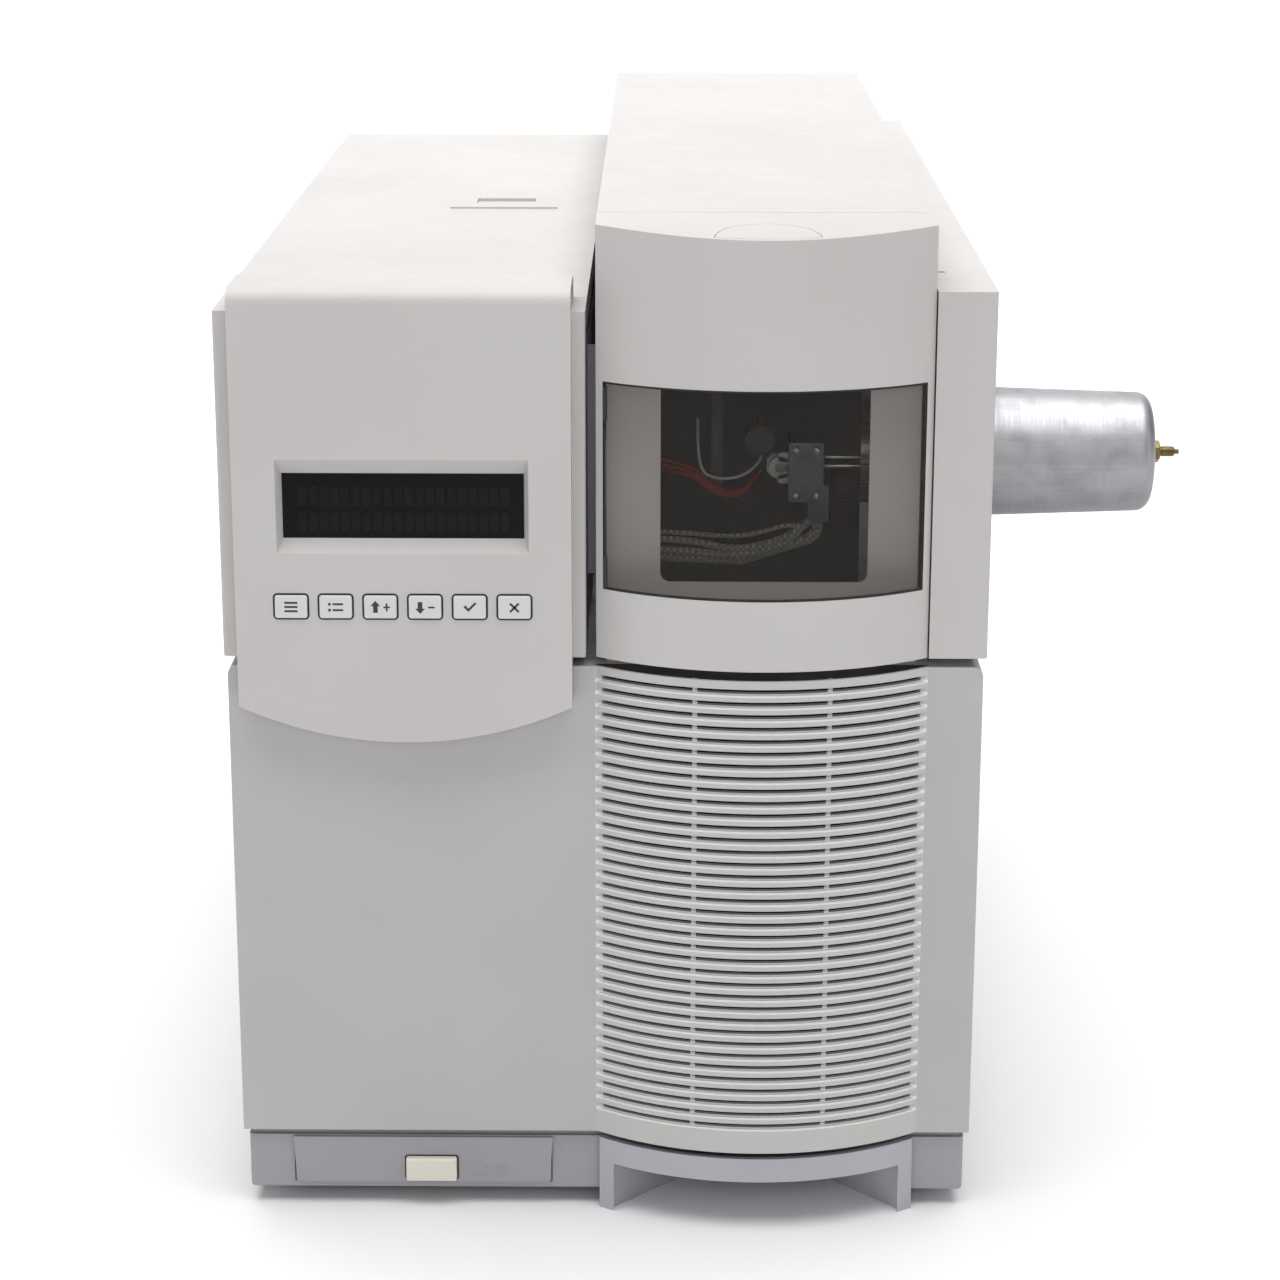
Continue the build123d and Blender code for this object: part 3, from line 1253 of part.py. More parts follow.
button_travel = 3.0
button_proud = 3.2
with BuildPart() as power_button:
    with BuildSketch(Plane.XZ.offset(-tray_front - 4.0)):
        with Locations((button_x, button_z)):
            RectangleRounded(button_width, button_height, 0.8)
    extrude(amount=4.0 + 1.2 + button_proud)
    fillet(power_button.faces().sort_by(Axis.Y)[0].edges(), radius=0.8)
    with BuildSketch(Plane.XZ.offset(-tray_front - 4.0)):
        with Locations((button_x, button_z)):
            Rectangle(8.0, 6.0)
    extrude(amount=-6.0)
write(power_button, "power_button")

with BuildPart() as power_switch:
    with BuildSketch(Plane.XZ.offset(-tray_front - 10.0 - button_travel - 0.3)):
        with Locations((button_x, button_z)):
            Rectangle(14.0, 10.0)
    extrude(amount=-16.0)
    with BuildSketch(level(tray_floor)):
        with Locations((button_x, tray_front + 21.3 + button_travel)):
            Rectangle(20.0, 16.0)
    extrude(amount=button_z - 5.0 - tray_floor + 1)
write(power_switch, "power_switch")

# ================================================================= hose and leads
def tube_along(route, start, direction, radius):
    """Round tube along a route of straight runs and tangent arcs."""
    with BuildPart() as tube:
        with BuildSketch(Plane(origin=start, z_dir=direction)):
            Circle(radius)
        sweep(path=route.wire())
    return tube


hose_radius = 6.0
hose_start = (pump_x + 24.0, pump_y + pump_radius + 12.0, pump_low + 9.0)
hose_end = (port_x, back_y - 14.0, port_z)
with BuildLine() as hose_route:
    FilletPolyline(hose_start, (hose_start[0], hose_start[1] + 48.0, hose_start[2]),
                   (hose_end[0], hose_end[1] - 48.0, hose_end[2]), hose_end, radius=100.0)
foreline_hose = tube_along(hose_route, hose_start, (0, 1, 0), hose_radius)
write(foreline_hose, "foreline_hose")

# heater lead: hangs across the front of the chamber and rises into the calibration valve
lead_radius = 2.3
lead_y = chamber_front - 11.0
lead_start = (chamber_left - side_plate_thickness / 2, chamber_front + 1.0, valve_low - 17.0)
lead_x = 85.9
with BuildLine() as lead_route:
    FilletPolyline(lead_start, (lead_start[0], lead_y, lead_start[2]),
                   (lead_x - 31.0, lead_y, lead_start[2] - 1.5),
                   (lead_x, lead_y, valve_low - 8.5), (lead_x, lead_y, valve_low), radius=6.0)
heater_lead = tube_along(lead_route, lead_start, (0, -1, 0), lead_radius)
write(heater_lead, "heater_lead")

# purge tube up the front of the chamber and over on to its top
purge_x, purge_z = 44.7, 284.0
purge_reach = 9.0
purge_top = chamber_high + 16.0
with BuildLine() as purge_route:
    FilletPolyline((purge_x, chamber_front, purge_z), (purge_x, chamber_front - purge_reach, purge_z),
                   (purge_x, chamber_front - purge_reach, purge_top),
                   (purge_x, chamber_front + 24.0, purge_top),
                   (purge_x, chamber_front + 24.0, chamber_high), radius=7.0)
purge_tube = tube_along(purge_route, (purge_x, chamber_front, purge_z), (0, -1, 0), 2.7)
write(purge_tube, "purge_tube")

# ================================================================= screws that hold the rear panel
with BuildPart() as rear_screws:
    with BuildSketch(Plane.XZ.offset(-back_y)):
        with Locations((0, (panel_low_z + deck_top) / 2)):
            with GridLocations(case_width - 16.0, 170.0, 2, 2):
                Circle(3.4)
                Rectangle(4.4, 0.9, mode=Mode.SUBTRACT)
                Rectangle(0.9, 4.4, mode=Mode.SUBTRACT)
    extrude(amount=-2.0)
write(rear_screws, "rear_screws")
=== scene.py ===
import json
from math import cos, pi, radians, sin

import bmesh
import bpy
from mathutils import Matrix, Vector


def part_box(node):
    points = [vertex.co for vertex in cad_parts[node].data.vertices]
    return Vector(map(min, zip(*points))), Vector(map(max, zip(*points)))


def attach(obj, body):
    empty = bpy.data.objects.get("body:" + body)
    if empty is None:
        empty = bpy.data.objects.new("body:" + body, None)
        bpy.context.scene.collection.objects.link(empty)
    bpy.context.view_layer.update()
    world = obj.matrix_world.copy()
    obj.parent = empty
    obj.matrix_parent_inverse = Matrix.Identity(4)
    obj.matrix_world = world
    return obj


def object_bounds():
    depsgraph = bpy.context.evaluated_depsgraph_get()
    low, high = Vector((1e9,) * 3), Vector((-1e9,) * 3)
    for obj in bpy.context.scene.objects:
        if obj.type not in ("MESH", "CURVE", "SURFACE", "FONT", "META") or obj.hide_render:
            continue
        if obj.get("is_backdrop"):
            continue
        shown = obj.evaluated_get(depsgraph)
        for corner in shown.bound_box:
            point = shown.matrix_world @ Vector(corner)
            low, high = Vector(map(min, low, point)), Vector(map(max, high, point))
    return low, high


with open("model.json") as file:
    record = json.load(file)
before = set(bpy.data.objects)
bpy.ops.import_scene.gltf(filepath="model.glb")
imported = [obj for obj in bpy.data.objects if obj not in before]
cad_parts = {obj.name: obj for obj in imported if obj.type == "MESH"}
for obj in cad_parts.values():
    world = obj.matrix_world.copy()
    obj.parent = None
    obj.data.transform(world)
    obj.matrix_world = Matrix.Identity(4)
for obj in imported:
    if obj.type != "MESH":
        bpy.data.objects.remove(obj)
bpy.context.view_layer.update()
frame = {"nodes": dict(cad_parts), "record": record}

nodes = frame["nodes"]


def mm(*sizes):
    """Millimetres as metres: one size, or a vector of three."""
    scaled = [size / 1000 for size in sizes]
    return scaled[0] if len(scaled) == 1 else Vector(scaled)


# ------------------------------------------------------------------ sizes repeated from the solids
FRONT = -274.0              # front plane of the case
BENCH = -7.0                # bench under the rubber feet
BOW = 21.4                  # how far the louvred column stands forward
COLUMN_MID = 62.0
COLUMN_HALF = 65.5
BEZEL_FACE = FRONT - 12.0
KEY_FIRST_X, KEY_PITCH, KEY_Z = -122.45, 17.46, 255.5
DISPLAY = (-127.5, -29.3, 276.9, 314.2)
CHAMBER_FRONT = FRONT + 72.0
BOW_RADIUS = (COLUMN_HALF ** 2 + BOW ** 2) / (2 * BOW)
BOW_CENTRE = FRONT - BOW + BOW_RADIUS
GROOVE = 1.5                # depth of the louvres' grooves
GROOVE_TOP, GROOVE_PITCH, GROOVE_COUNT, GROOVE_HIGH = 224.8, 5.12, 37, 2.6
RIB_SPACING, RIB_WIDTH = 53.0, 1.9


# ------------------------------------------------------------------ shader tools
def linear(code):
    """sRGB hex colour as linear red, green, blue and alpha."""
    parts = [int(code[i:i + 2], 16) / 255 for i in (0, 2, 4)]
    return tuple(p / 12.92 if p <= 0.04045 else ((p + 0.055) / 1.055) ** 2.4 for p in parts) + (1.0,)


def add(tree, kind, inputs=None, **settings):
    """One shader node with its settings; sockets get values or the outputs of other nodes."""
    made = tree.nodes.new("ShaderNode" + kind)
    for key, value in settings.items():
        setattr(made, key, value)
    for key, value in (inputs or {}).items():
        named = isinstance(key, str)
        socket = next(s for s in made.inputs if s.enabled and s.name == key) if named else made.inputs[key]
        if isinstance(value, bpy.types.Node):
            value = next(out for out in value.outputs if out.enabled)
        if isinstance(value, bpy.types.NodeSocket):
            tree.links.new(value, socket)
        else:
            socket.default_value = value
    return made


def finish(name, **fixed):
    """A new material: its tree and its shader, with the even values set on the shader's own sockets."""
    made = bpy.data.materials.new(name)
    made.use_nodes = True
    tree = made.node_tree
    tree.nodes.clear()
    sockets = {"metallic": "Metallic", "ior": "IOR", "alpha": "Alpha", "gloss": "Specular IOR Level"}
    shader = add(tree, "BsdfPrincipled", {sockets[key]: value for key, value in fixed.items()})
    add(tree, "OutputMaterial", {"Surface": shader})
    return made, tree, shader


def join(tree, shader, **sources):
    """Feeds colour, roughness and normal of a shader from patterns."""
    names = {"colour": "Base Color", "rough": "Roughness", "normal": "Normal"}
    for key, source in sources.items():
        out = next(o for o in source.outputs if o.enabled)
        tree.links.new(out, shader.inputs[names[key]])


def object_place(tree):
    """Place on the piece, in metres."""
    return add(tree, "TexCoord").outputs["Object"]


def speckle(tree, size, detail=2.0, stretch=(1.0, 1.0, 1.0)):
    """Even random pattern whose spots are about size mm across, stretched along an axis below 1."""
    place = object_place(tree)
    spread = add(tree, "Mapping", {"Vector": place, "Scale": stretch})
    return add(tree, "TexNoise", {"Vector": spread, "Scale": 1000 / size, "Detail": detail})


def between(tree, source, low, high, start=0.3, end=0.7):
    """Pattern strength spread from low to high."""
    return add(tree, "MapRange", {"Value": source, "From Min": start, "From Max": end,
                                  "To Min": low, "To Max": high})


def blend(tree, share, first, second):
    """Two colours mixed by a share."""
    first, second = (linear(c) if isinstance(c, str) else c for c in (first, second))
    return add(tree, "Mix", {"Factor": share, "A": first, "B": second}, data_type="RGBA")


def product(tree, *shares):
    """Several shares multiplied."""
    total = shares[0]
    for share in shares[1:]:
        total = add(tree, "Math", {0: total, 1: share}, operation="MULTIPLY")
    return total


def inverse(tree, share):
    """One less a share."""
    return add(tree, "Math", {0: 1.0, 1: share}, operation="SUBTRACT")


def reopened(made):
    """Tree, shader and colour of a finished material, for one more layer over it."""
    tree = made.node_tree
    shader = next(n for n in tree.nodes if n.type == "BSDF_PRINCIPLED")
    return tree, shader, shader.inputs["Base Color"].links[0].from_socket


def rubbed_edges(tree, reach):
    """Share of wear: near one on outer edges within reach mm, nought on flats."""
    rounded = add(tree, "Bevel", {"Radius": mm(reach)}, samples=4)
    true_normal = add(tree, "NewGeometry").outputs["Normal"]
    same = add(tree, "VectorMath", {0: rounded, 1: true_normal}, operation="DOT_PRODUCT")
    return between(tree, same.outputs["Value"], 0.0, 1.0, 0.999, 0.8)


# ------------------------------------------------------------------ finishes
def moulded_plastic(name, colour, edge, grain=0.9, depth=0.03, rough=(0.48, 0.6)):
    """ABS from a spark-eroded mould: a fine even pitting that keeps highlights soft, cloudy by a few
    percent over a hand's width, and slightly polished and lighter along handled edges. The pitting is
    0.2 mm on the real thing and is drawn coarser so that it shows."""
    made, tree, shader = finish(name, ior=1.5)
    cloud = speckle(tree, 90.0)
    body = blend(tree, between(tree, cloud, 0.0, 0.35), colour, edge)
    worn = add(tree, "Math", {0: rubbed_edges(tree, 0.8), 1: speckle(tree, 6.0)}, operation="MULTIPLY")
    pits = speckle(tree, grain, 3.0)
    join(tree, shader, colour=blend(tree, worn, body, edge),
         rough=between(tree, speckle(tree, 14.0), *rough),
         normal=add(tree, "Bump", {"Height": pits, "Distance": mm(depth), "Strength": 0.5}))
    return made


def powder_coat(name, colour, edge):
    """Epoxy powder coat on sheet steel: low orange peel of about 2 mm, half gloss, even in colour."""
    made, tree, shader = finish(name, ior=1.5)
    peel = speckle(tree, 2.2, 1.0)
    join(tree, shader, colour=blend(tree, between(tree, speckle(tree, 60.0), 0.0, 0.4), colour, edge),
         rough=between(tree, speckle(tree, 8.0), 0.38, 0.5),
         normal=add(tree, "Bump", {"Height": peel, "Distance": mm(0.05), "Strength": 0.4}))
    return made


def plated_steel(name, colour, dull, crystal=5.0, rough=(0.28, 0.42)):
    """Zinc-plated or galvanised steel: flat crystals a few mm wide of slightly different grey, and
    faint rolling lines."""
    made, tree, shader = finish(name, metallic=1.0)
    place = object_place(tree)
    cells = add(tree, "TexVoronoi", {"Vector": place, "Scale": 1000 / crystal})
    lines = speckle(tree, 1.0, 2.0, (1.0, 0.02, 1.0))
    tone = add(tree, "SeparateColor", {"Color": cells.outputs["Color"]})
    join(tree, shader, colour=blend(tree, between(tree, tone, 0.1, 0.6, 0.0, 1.0), colour, dull),
         rough=between(tree, tone, *rough, 0.0, 1.0),
         normal=add(tree, "Bump", {"Height": lines, "Distance": mm(0.02), "Strength": 0.3}))
    return made


def turned_metal(name, colour, dull, groove=0.35, along=(0.02, 1.0, 1.0), rough=(0.2, 0.34)):
    """Lathe-turned metal: fine rings left by the tool across one axis, a few darker handling marks and
    brighter rubbed edges."""
    made, tree, shader = finish(name, metallic=1.0)
    rings = speckle(tree, groove, 2.0, along)
    marks = between(tree, speckle(tree, 9.0, 4.0), 0.0, 0.7, 0.45, 0.75)
    worn = rubbed_edges(tree, 0.4)
    join(tree, shader, colour=blend(tree, worn, blend(tree, marks, colour, dull), colour),
         rough=between(tree, rings, *rough),
         normal=add(tree, "Bump", {"Height": rings, "Distance": mm(0.02), "Strength": 0.35}))
    return made


def drawn_aluminium():
    """Spun aluminium cup, satin: rings round the axis, long scuffs along it, shallow dents a thumb wide,
    dull oxide patches, and a painted darker band towards the bottom that stands for the dark reflection
    there."""
    made, tree, shader = finish("drawn_aluminium", metallic=1.0)
    rings = speckle(tree, 0.9, 2.0, (1.0, 0.04, 0.04))
    scuffs = speckle(tree, 1.6, 3.0, (0.05, 1.0, 1.0))
    dents = speckle(tree, 22.0, 1.0, (0.5, 1.0, 1.0))
    oxide = between(tree, speckle(tree, 12.0, 5.0), 0.0, 0.75, 0.42, 0.68)
    shade = blend(tree, oxide, "b4b4b7", "98999c")
    streaked = blend(tree, between(tree, scuffs, 0.0, 0.18, 0.5, 0.72), shade, "d2d2d3")
    # painted reflection: darker towards the bottom, where the cup mirrors the dark below it
    height = add(tree, "SeparateXYZ", {"Vector": object_place(tree)}).outputs["Z"]
    under = between(tree, height, 0.0, 0.75, mm(300.0), mm(268.0))
    with_painted_low_reflection = blend(tree, under, streaked, "77787b")
    waves = add(tree, "Math", {0: rings, 1: dents}, operation="ADD")
    fine = add(tree, "Bump", {"Height": waves, "Distance": mm(0.25), "Strength": 0.2})
    join(tree, shader, colour=with_painted_low_reflection, rough=between(tree, rings, 0.44, 0.54), normal=fine)
    return made


def black_rubber(name, colour="1b1b1c", edge="2e2e30"):
    """Moulded or extruded rubber: matt black with a greyish bloom."""
    made, tree, shader = finish(name, ior=1.5)
    join(tree, shader, colour=blend(tree, between(tree, speckle(tree, 7.0, 4.0), 0.0, 1.0), colour, edge),
         rough=between(tree, speckle(tree, 3.0), 0.65, 0.85),
         normal=add(tree, "Bump", {"Height": speckle(tree, 0.8), "Distance": mm(0.03), "Strength": 0.5}))
    return made


def gloss_dark(name, colour, second, rough, alpha=1.0, gloss=0.5):
    """Polished dark acrylic or glass: a clean hard reflection over black, with a faint wipe haze."""
    made, tree, shader = finish(name, ior=1.5, alpha=alpha, gloss=gloss)
    haze = between(tree, speckle(tree, 40.0, 4.0, (1.0, 1.0, 0.25)), rough, rough + 0.09)
    join(tree, shader, colour=blend(tree, speckle(tree, 60.0), colour, second), rough=haze)
    return made


def solder_mask():
    """Green epoxy mask on glass-fibre board: slightly raised copper tracks 1 mm wide show through as a
    lighter green, on a 2.54 mm grid."""
    made, tree, shader = finish("solder_mask", ior=1.5)
    place = object_place(tree)
    upright = add(tree, "Mapping", {"Vector": place, "Rotation": (0, pi / 2, 0)})
    tracks = add(tree, "TexBrick", {"Vector": upright, "Scale": 1000 / 10.16, "Mortar Size": 0.05,
                                    "Color1": linear("0d3a22"), "Color2": linear("114a2b"),
                                    "Mortar": linear("2d7a4c")})
    join(tree, shader, colour=tracks, rough=between(tree, speckle(tree, 5.0), 0.25, 0.4),
         normal=add(tree, "Bump", {"Height": tracks.outputs["Fac"], "Distance": mm(0.04), "Strength": 0.4}))
    return made


WAVE = pi / 10              # a wave texture at a scale of one repeats after this many metres


def woven_sleeve(name, light, dark, pitch=1.6):
    """Braided glass-fibre sleeve: strands 0.8 mm wide crossing at an angle, off-white and darker grey
    between them."""
    made, tree, shader = finish(name, ior=1.5)
    place = object_place(tree)
    turned = [add(tree, "Mapping", {"Vector": place, "Rotation": (0, angle, angle)})
              for angle in (pi / 4, -pi / 4)]
    crossing = [add(tree, "TexWave", {"Vector": way, "Scale": WAVE / mm(pitch)}) for way in turned]
    weave = add(tree, "Math", {0: crossing[0], 1: crossing[1]}, operation="MULTIPLY")
    join(tree, shader, colour=blend(tree, between(tree, weave, 0.0, 1.0, 0.1, 0.6), dark, light),
         rough=between(tree, weave, 0.6, 0.85),
         normal=add(tree, "Bump", {"Height": weave, "Distance": mm(0.3), "Strength": 0.8}))
    return made


def key_cap_plastic():
    """Satin grey ABS cap. From just under the bezel's face inwards its sides are painted near black as
    painted shade, so that a dark shadow line frames each cap."""
    made = moulded_plastic("key_cap_abs", "d0cfce", "dcdbda", 0.6, 0.01, (0.35, 0.45))
    tree, shader, cap_colour = reopened(made)
    depth = add(tree, "SeparateXYZ", {"Vector": object_place(tree)}).outputs["Y"]
    # painted shade on the cap's sides inside the bezel's opening
    painted_gap_shade = between(tree, depth, 0.0, 1.0, mm(BEZEL_FACE + 0.1), mm(BEZEL_FACE + 0.3))
    join(tree, shader, colour=blend(tree, painted_gap_shade, cap_colour, "161617"))
    return made


def louvred_cover():
    """Light ABS cover of the column, with light and shade painted on it. The bowed face is painted a shade
    lighter than the flats as painted light, the slats' upper edges carry a painted highlight, the grooves'
    floors carry painted shade that darkens towards the slots, and the back and the walls of the slots are
    painted near black as painted shade."""
    made = moulded_plastic("lower_cover_abs", "b4b1b1", "c4c2c2")
    tree, shader, body = reopened(made)
    place = object_place(tree)
    axis = add(tree, "VectorMath", {0: place, 1: mm(COLUMN_MID, BOW_CENTRE, 0)}, operation="SUBTRACT")
    flat = add(tree, "VectorMath", {0: axis, 1: (1.0, 1.0, 0.0)}, operation="MULTIPLY")
    reach = add(tree, "VectorMath", {0: flat}, operation="LENGTH").outputs["Value"]
    floor = BOW_RADIUS - GROOVE

    def deeper(start, end):
        """Share that rises inwards from start to end mm beyond the grooves' floor."""
        return between(tree, reach, 0.0, 1.0, mm(floor + start), mm(floor + end))

    axes = add(tree, "SeparateXYZ", {"Vector": place}).outputs
    in_bow = add(tree, "Math", {0: reach, 1: mm(BOW_RADIUS + 0.3)}, operation="LESS_THAN")
    before = between(tree, axes["Y"], 0.0, 1.0, mm(FRONT + 4.0), mm(FRONT + 3.0))
    forward = product(tree, in_bow, before)

    drop = add(tree, "Math", {0: mm(GROOVE_TOP), 1: axes["Z"]}, operation="SUBTRACT")
    phase = add(tree, "Math", {0: drop, 1: mm(GROOVE_PITCH)}, operation="MODULO")
    last = mm(GROOVE_PITCH * (GROOVE_COUNT - 1) + GROOVE_HIGH)
    below = add(tree, "Math", {0: drop, 1: 0.0}, operation="GREATER_THAN")
    above = add(tree, "Math", {0: drop, 1: last + mm(0.6)}, operation="LESS_THAN")
    louvred = product(tree, below, above, forward)

    rib_places = [COLUMN_MID + side * RIB_SPACING / 2 for side in (-1, 1)]
    off_ribs = [inverse(tree, add(tree, "Math", {0: axes["X"], 1: mm(x), 2: mm(RIB_WIDTH / 2)},
                                  operation="COMPARE")) for x in rib_places]
    on_ribs = inverse(tree, product(tree, *off_ribs))
    not_bare_rib = inverse(tree, product(tree, deeper(-1.2, -1.0), on_ribs))

    # painted shade on the grooves' floors, darkest just under the slots
    painted_groove_shade = product(tree, deeper(0.2, 0.05), louvred, *off_ribs,
                    between(tree, phase, 0.0, 1.0, mm(2.2), mm(1.9)))
    # painted highlight along the slats' upper edges
    off_lip = add(tree, "Math", {0: phase, 1: mm(GROOVE_HIGH - 0.1)}, operation="SUBTRACT")
    off_lip = add(tree, "Math", {0: off_lip}, operation="ABSOLUTE")
    painted_lip_highlight = between(tree, off_lip, 0.0, 1.0, mm(0.9), mm(0.5))
    # painted light: the bowed face a shade lighter than the flats
    lighter = blend(tree, forward, body, "bebdbb")
    with_lip_highlight = blend(tree, product(tree, painted_lip_highlight, louvred), lighter, "e6e6e3")
    shaded = blend(tree, painted_groove_shade, with_lip_highlight, "56545a")
    # painted shade: the back and the walls of the slots near black
    painted_slot_shade = product(tree, deeper(-0.05, -0.15), forward, not_bare_rib)
    join(tree, shader, colour=blend(tree, painted_slot_shade, shaded, "0b0b0c"))
    return made


cover = moulded_plastic("cover_abs", "bfbcba", "cdcbc9")
louvres = louvred_cover()
plinth = moulded_plastic("plinth_abs", "9b9aa0", "abaab0", 1.1)
skirt = moulded_plastic("skirt_abs", "acacb3", "bbbbc1", 1.1)
key_cap = key_cap_plastic()
beige = moulded_plastic("button_abs", "ddd8cc", "ebe7de", 0.6, 0.01, (0.35, 0.45))
black = moulded_plastic("black_nylon", "1d1d1f", "3a3a3c", 0.8, 0.03, (0.4, 0.55))
white = moulded_plastic("white_acetal", "e8e8e4", "f4f4f2", 0.8, 0.01, (0.3, 0.42))
coated = powder_coat("powder_coated_side", "d2d1d0", "dcdbda")
inner = powder_coat("powder_coated_frame", "e4dfd8", "ece8e2")
shaded_zinc = powder_coat("chromated_zinc_wall", "b6b4c2", "c6c4d0")
zinc_sheet = plated_steel("zinc_plated_sheet", "b4b6bf", "a5a8b1", 5.0)
zinc = plated_steel("bright_zinc", "c9cacd", "a6a7aa", 1.5, (0.22, 0.34))
stainless = turned_metal("turned_stainless", "c6c4c1", "a19e9a")
machined = turned_metal("milled_aluminium", "cfd0d2", "b2b3b6", 0.8, (1.0, 0.05, 1.0), (0.25, 0.4))
cup = drawn_aluminium()
brass = turned_metal("turned_brass", "84734f", "4b3f2a", 0.3, (1.0, 0.05, 0.05), (0.3, 0.45))
gold = turned_metal("gold_plated_rods", "d8b36a", "b18b45", 0.3, (1.0, 0.02, 1.0), (0.12, 0.22))
rubber = black_rubber("rubber")
liquid_crystal = gloss_dark("liquid_crystal_glass", "0c0e0f", "121516", 0.2, gloss=0.2)
lens = gloss_dark("display_lens_acrylic", "050506", "09090a", 0.03, 0.72, gloss=0.2)
smoked = gloss_dark("smoked_window_acrylic", "2e2a26", "38332e", 0.03, 0.25, gloss=0.35)
board_green = solder_mask()
sleeve = woven_sleeve("glass_fibre_sleeve", "dedcd6", "a3a19b", 1.3)
# darker grey aluminium for the calibration valve
dark_valve_metal = turned_metal("dark_grey_valve_aluminium", "77787b", "595a5d", 0.8, (1.0, 0.05, 1.0), (0.4, 0.55))
vial_glass = gloss_dark("vial_glass", "8a8c8e", "9b9d9f", 0.08, 0.25)
# painted shade: a near-black metal on the chamber, its side plate and the driver box stands for the deep
# shade behind the window
interior_painted_shade = turned_metal("chamber_dark_painted_shade", "3c3d41", "2c2d30", 2.5, (1.0, 0.3, 1.0), (0.6, 0.7))
red_wire = moulded_plastic("red_silicone_wire", "a3241c", "c0473c", 0.6, 0.01, (0.35, 0.5))
white_wire = moulded_plastic("white_ptfe_wire", "dcdad4", "efeee9", 0.6, 0.01, (0.3, 0.4))
foam = black_rubber("black_foam", "121213", "202022")
print_ink = moulded_plastic("pad_print_ink", "303038", "3a3a42", 0.4, 0.005, (0.45, 0.6))
cell_grey = moulded_plastic("display_cell_print", "1b1e20", "212527", 0.5, 0.005, (0.4, 0.5))

finish_by_slot = {
    "cover_plastic": cover, "plinth_grey": plinth, "skirt_grey": skirt, "key_plastic": key_cap,
    "beige_plastic": beige, "black_plastic": black, "white_plastic": white, "black_rubber": rubber,
    "painted_sheet": coated, "inner_grey": inner, "zinc_sheet": zinc_sheet, "zinc_steel": zinc,
    "stainless": stainless, "aluminium_machined": machined, "aluminium_spun": cup,
    "brass_turned": brass, "gold_quartz": gold, "circuit_board": board_green,
    "lcd_module": liquid_crystal, "smoked_lens": lens, "smoked_window": smoked, "braided_sleeve": sleeve}

finish_by_node = {
    "lower_cover": louvres, "analyser_chamber": interior_painted_shade, "side_plate": interior_painted_shade, "driver_box": interior_painted_shade,
    "centre_wall": shaded_zinc, "calibration_valve": dark_valve_metal, "purge_tube": vial_glass}

slot_of = {row["node"]: row["material_slot"] for row in frame["record"]["subparts"]}
for name, solid in nodes.items():
    made = finish_by_node[name] if name in finish_by_node else finish_by_slot[slot_of[name]]
    for place in solid.material_slots:
        place.material = made


# ------------------------------------------------------------------ making pieces
# turns what is drawn in X and Y onto a front face
FACING = Matrix(((1, 0, 0, 0), (0, 0, -1, 0), (0, 1, 0, 0), (0, 0, 0, 1)))


def neighbours(count):
    """Each place round a closed loop with the one after it."""
    return [(here, (here + 1) % count) for here in range(count)]


def close_tube(shape, rings):
    """Joins rings of vertices into a closed tube, the last to the first."""
    for first, second in zip(rings, rings[1:] + rings[:1]):
        for here, ahead in neighbours(len(first)):
            shape.faces.new((first[here], first[ahead], second[ahead], second[here]))


def fit(name, shape, material, body):
    """Links a finished mesh or curve as a piece that moves with a body."""
    if isinstance(shape, bmesh.types.BMesh):
        mesh = bpy.data.meshes.new(name)
        shape.normal_update()
        shape.to_mesh(mesh)
        shape.free()
        shape = mesh
    made = bpy.data.objects.new(name, shape)
    bpy.context.scene.collection.objects.link(made)
    shape.materials.append(material)
    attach(made, body)
    return made


def prism(shape, outline, depth, place):
    """Adds a flat outline in millimetres, extruded by depth along its own Z, at a place."""
    lower, upper = ([shape.verts.new(place @ mm(x, y, z)) for x, y in outline] for z in (0.0, depth))
    shape.faces.new(lower[::-1])
    shape.faces.new(upper)
    for here, ahead in neighbours(len(outline)):
        shape.faces.new((lower[here], lower[ahead], upper[ahead], upper[here]))


def bar(x, y, width, height, turn=0.0):
    """Outline of a bar with clipped corners about a point."""
    nip = min(width, height) * 0.25
    half_w, half_h = width / 2, height / 2
    corners = [(-half_w + nip, -half_h), (half_w - nip, -half_h), (half_w, -half_h + nip),
               (half_w, half_h - nip), (half_w - nip, half_h), (-half_w + nip, half_h),
               (-half_w, half_h - nip), (-half_w, -half_h + nip)]
    return [(x + a * cos(turn) - b * sin(turn), y + a * sin(turn) + b * cos(turn)) for a, b in corners]


def ring_of(x, y, outer, inner, start, end, steps=20):
    """Outline of an open ring from one angle to another, in degrees."""
    angles = [radians(start + (end - start) * i / steps) for i in range(steps + 1)]
    out = [(x + outer * cos(a), y + outer * sin(a)) for a in angles]
    return out + [(x + inner * cos(a), y + inner * sin(a)) for a in reversed(angles)]


def lead(name, points, radius, material, body="chassis"):
    """A short wire or sleeve on a smooth line through the points' hull, in millimetres."""
    line = bpy.data.curves.new(name, "CURVE")
    line.dimensions = "3D"
    line.bevel_depth = mm(radius)
    line.bevel_resolution = 4
    line.resolution_u = 12
    line.use_fill_caps = True
    spline = line.splines.new("NURBS")
    spline.points.add(len(points) - 1)
    for knot, point in zip(spline.points, points):
        knot.co = (*mm(*point), 1.0)
    spline.order_u = 3
    spline.use_endpoint_u = True
    return fit(name, line, material, body)


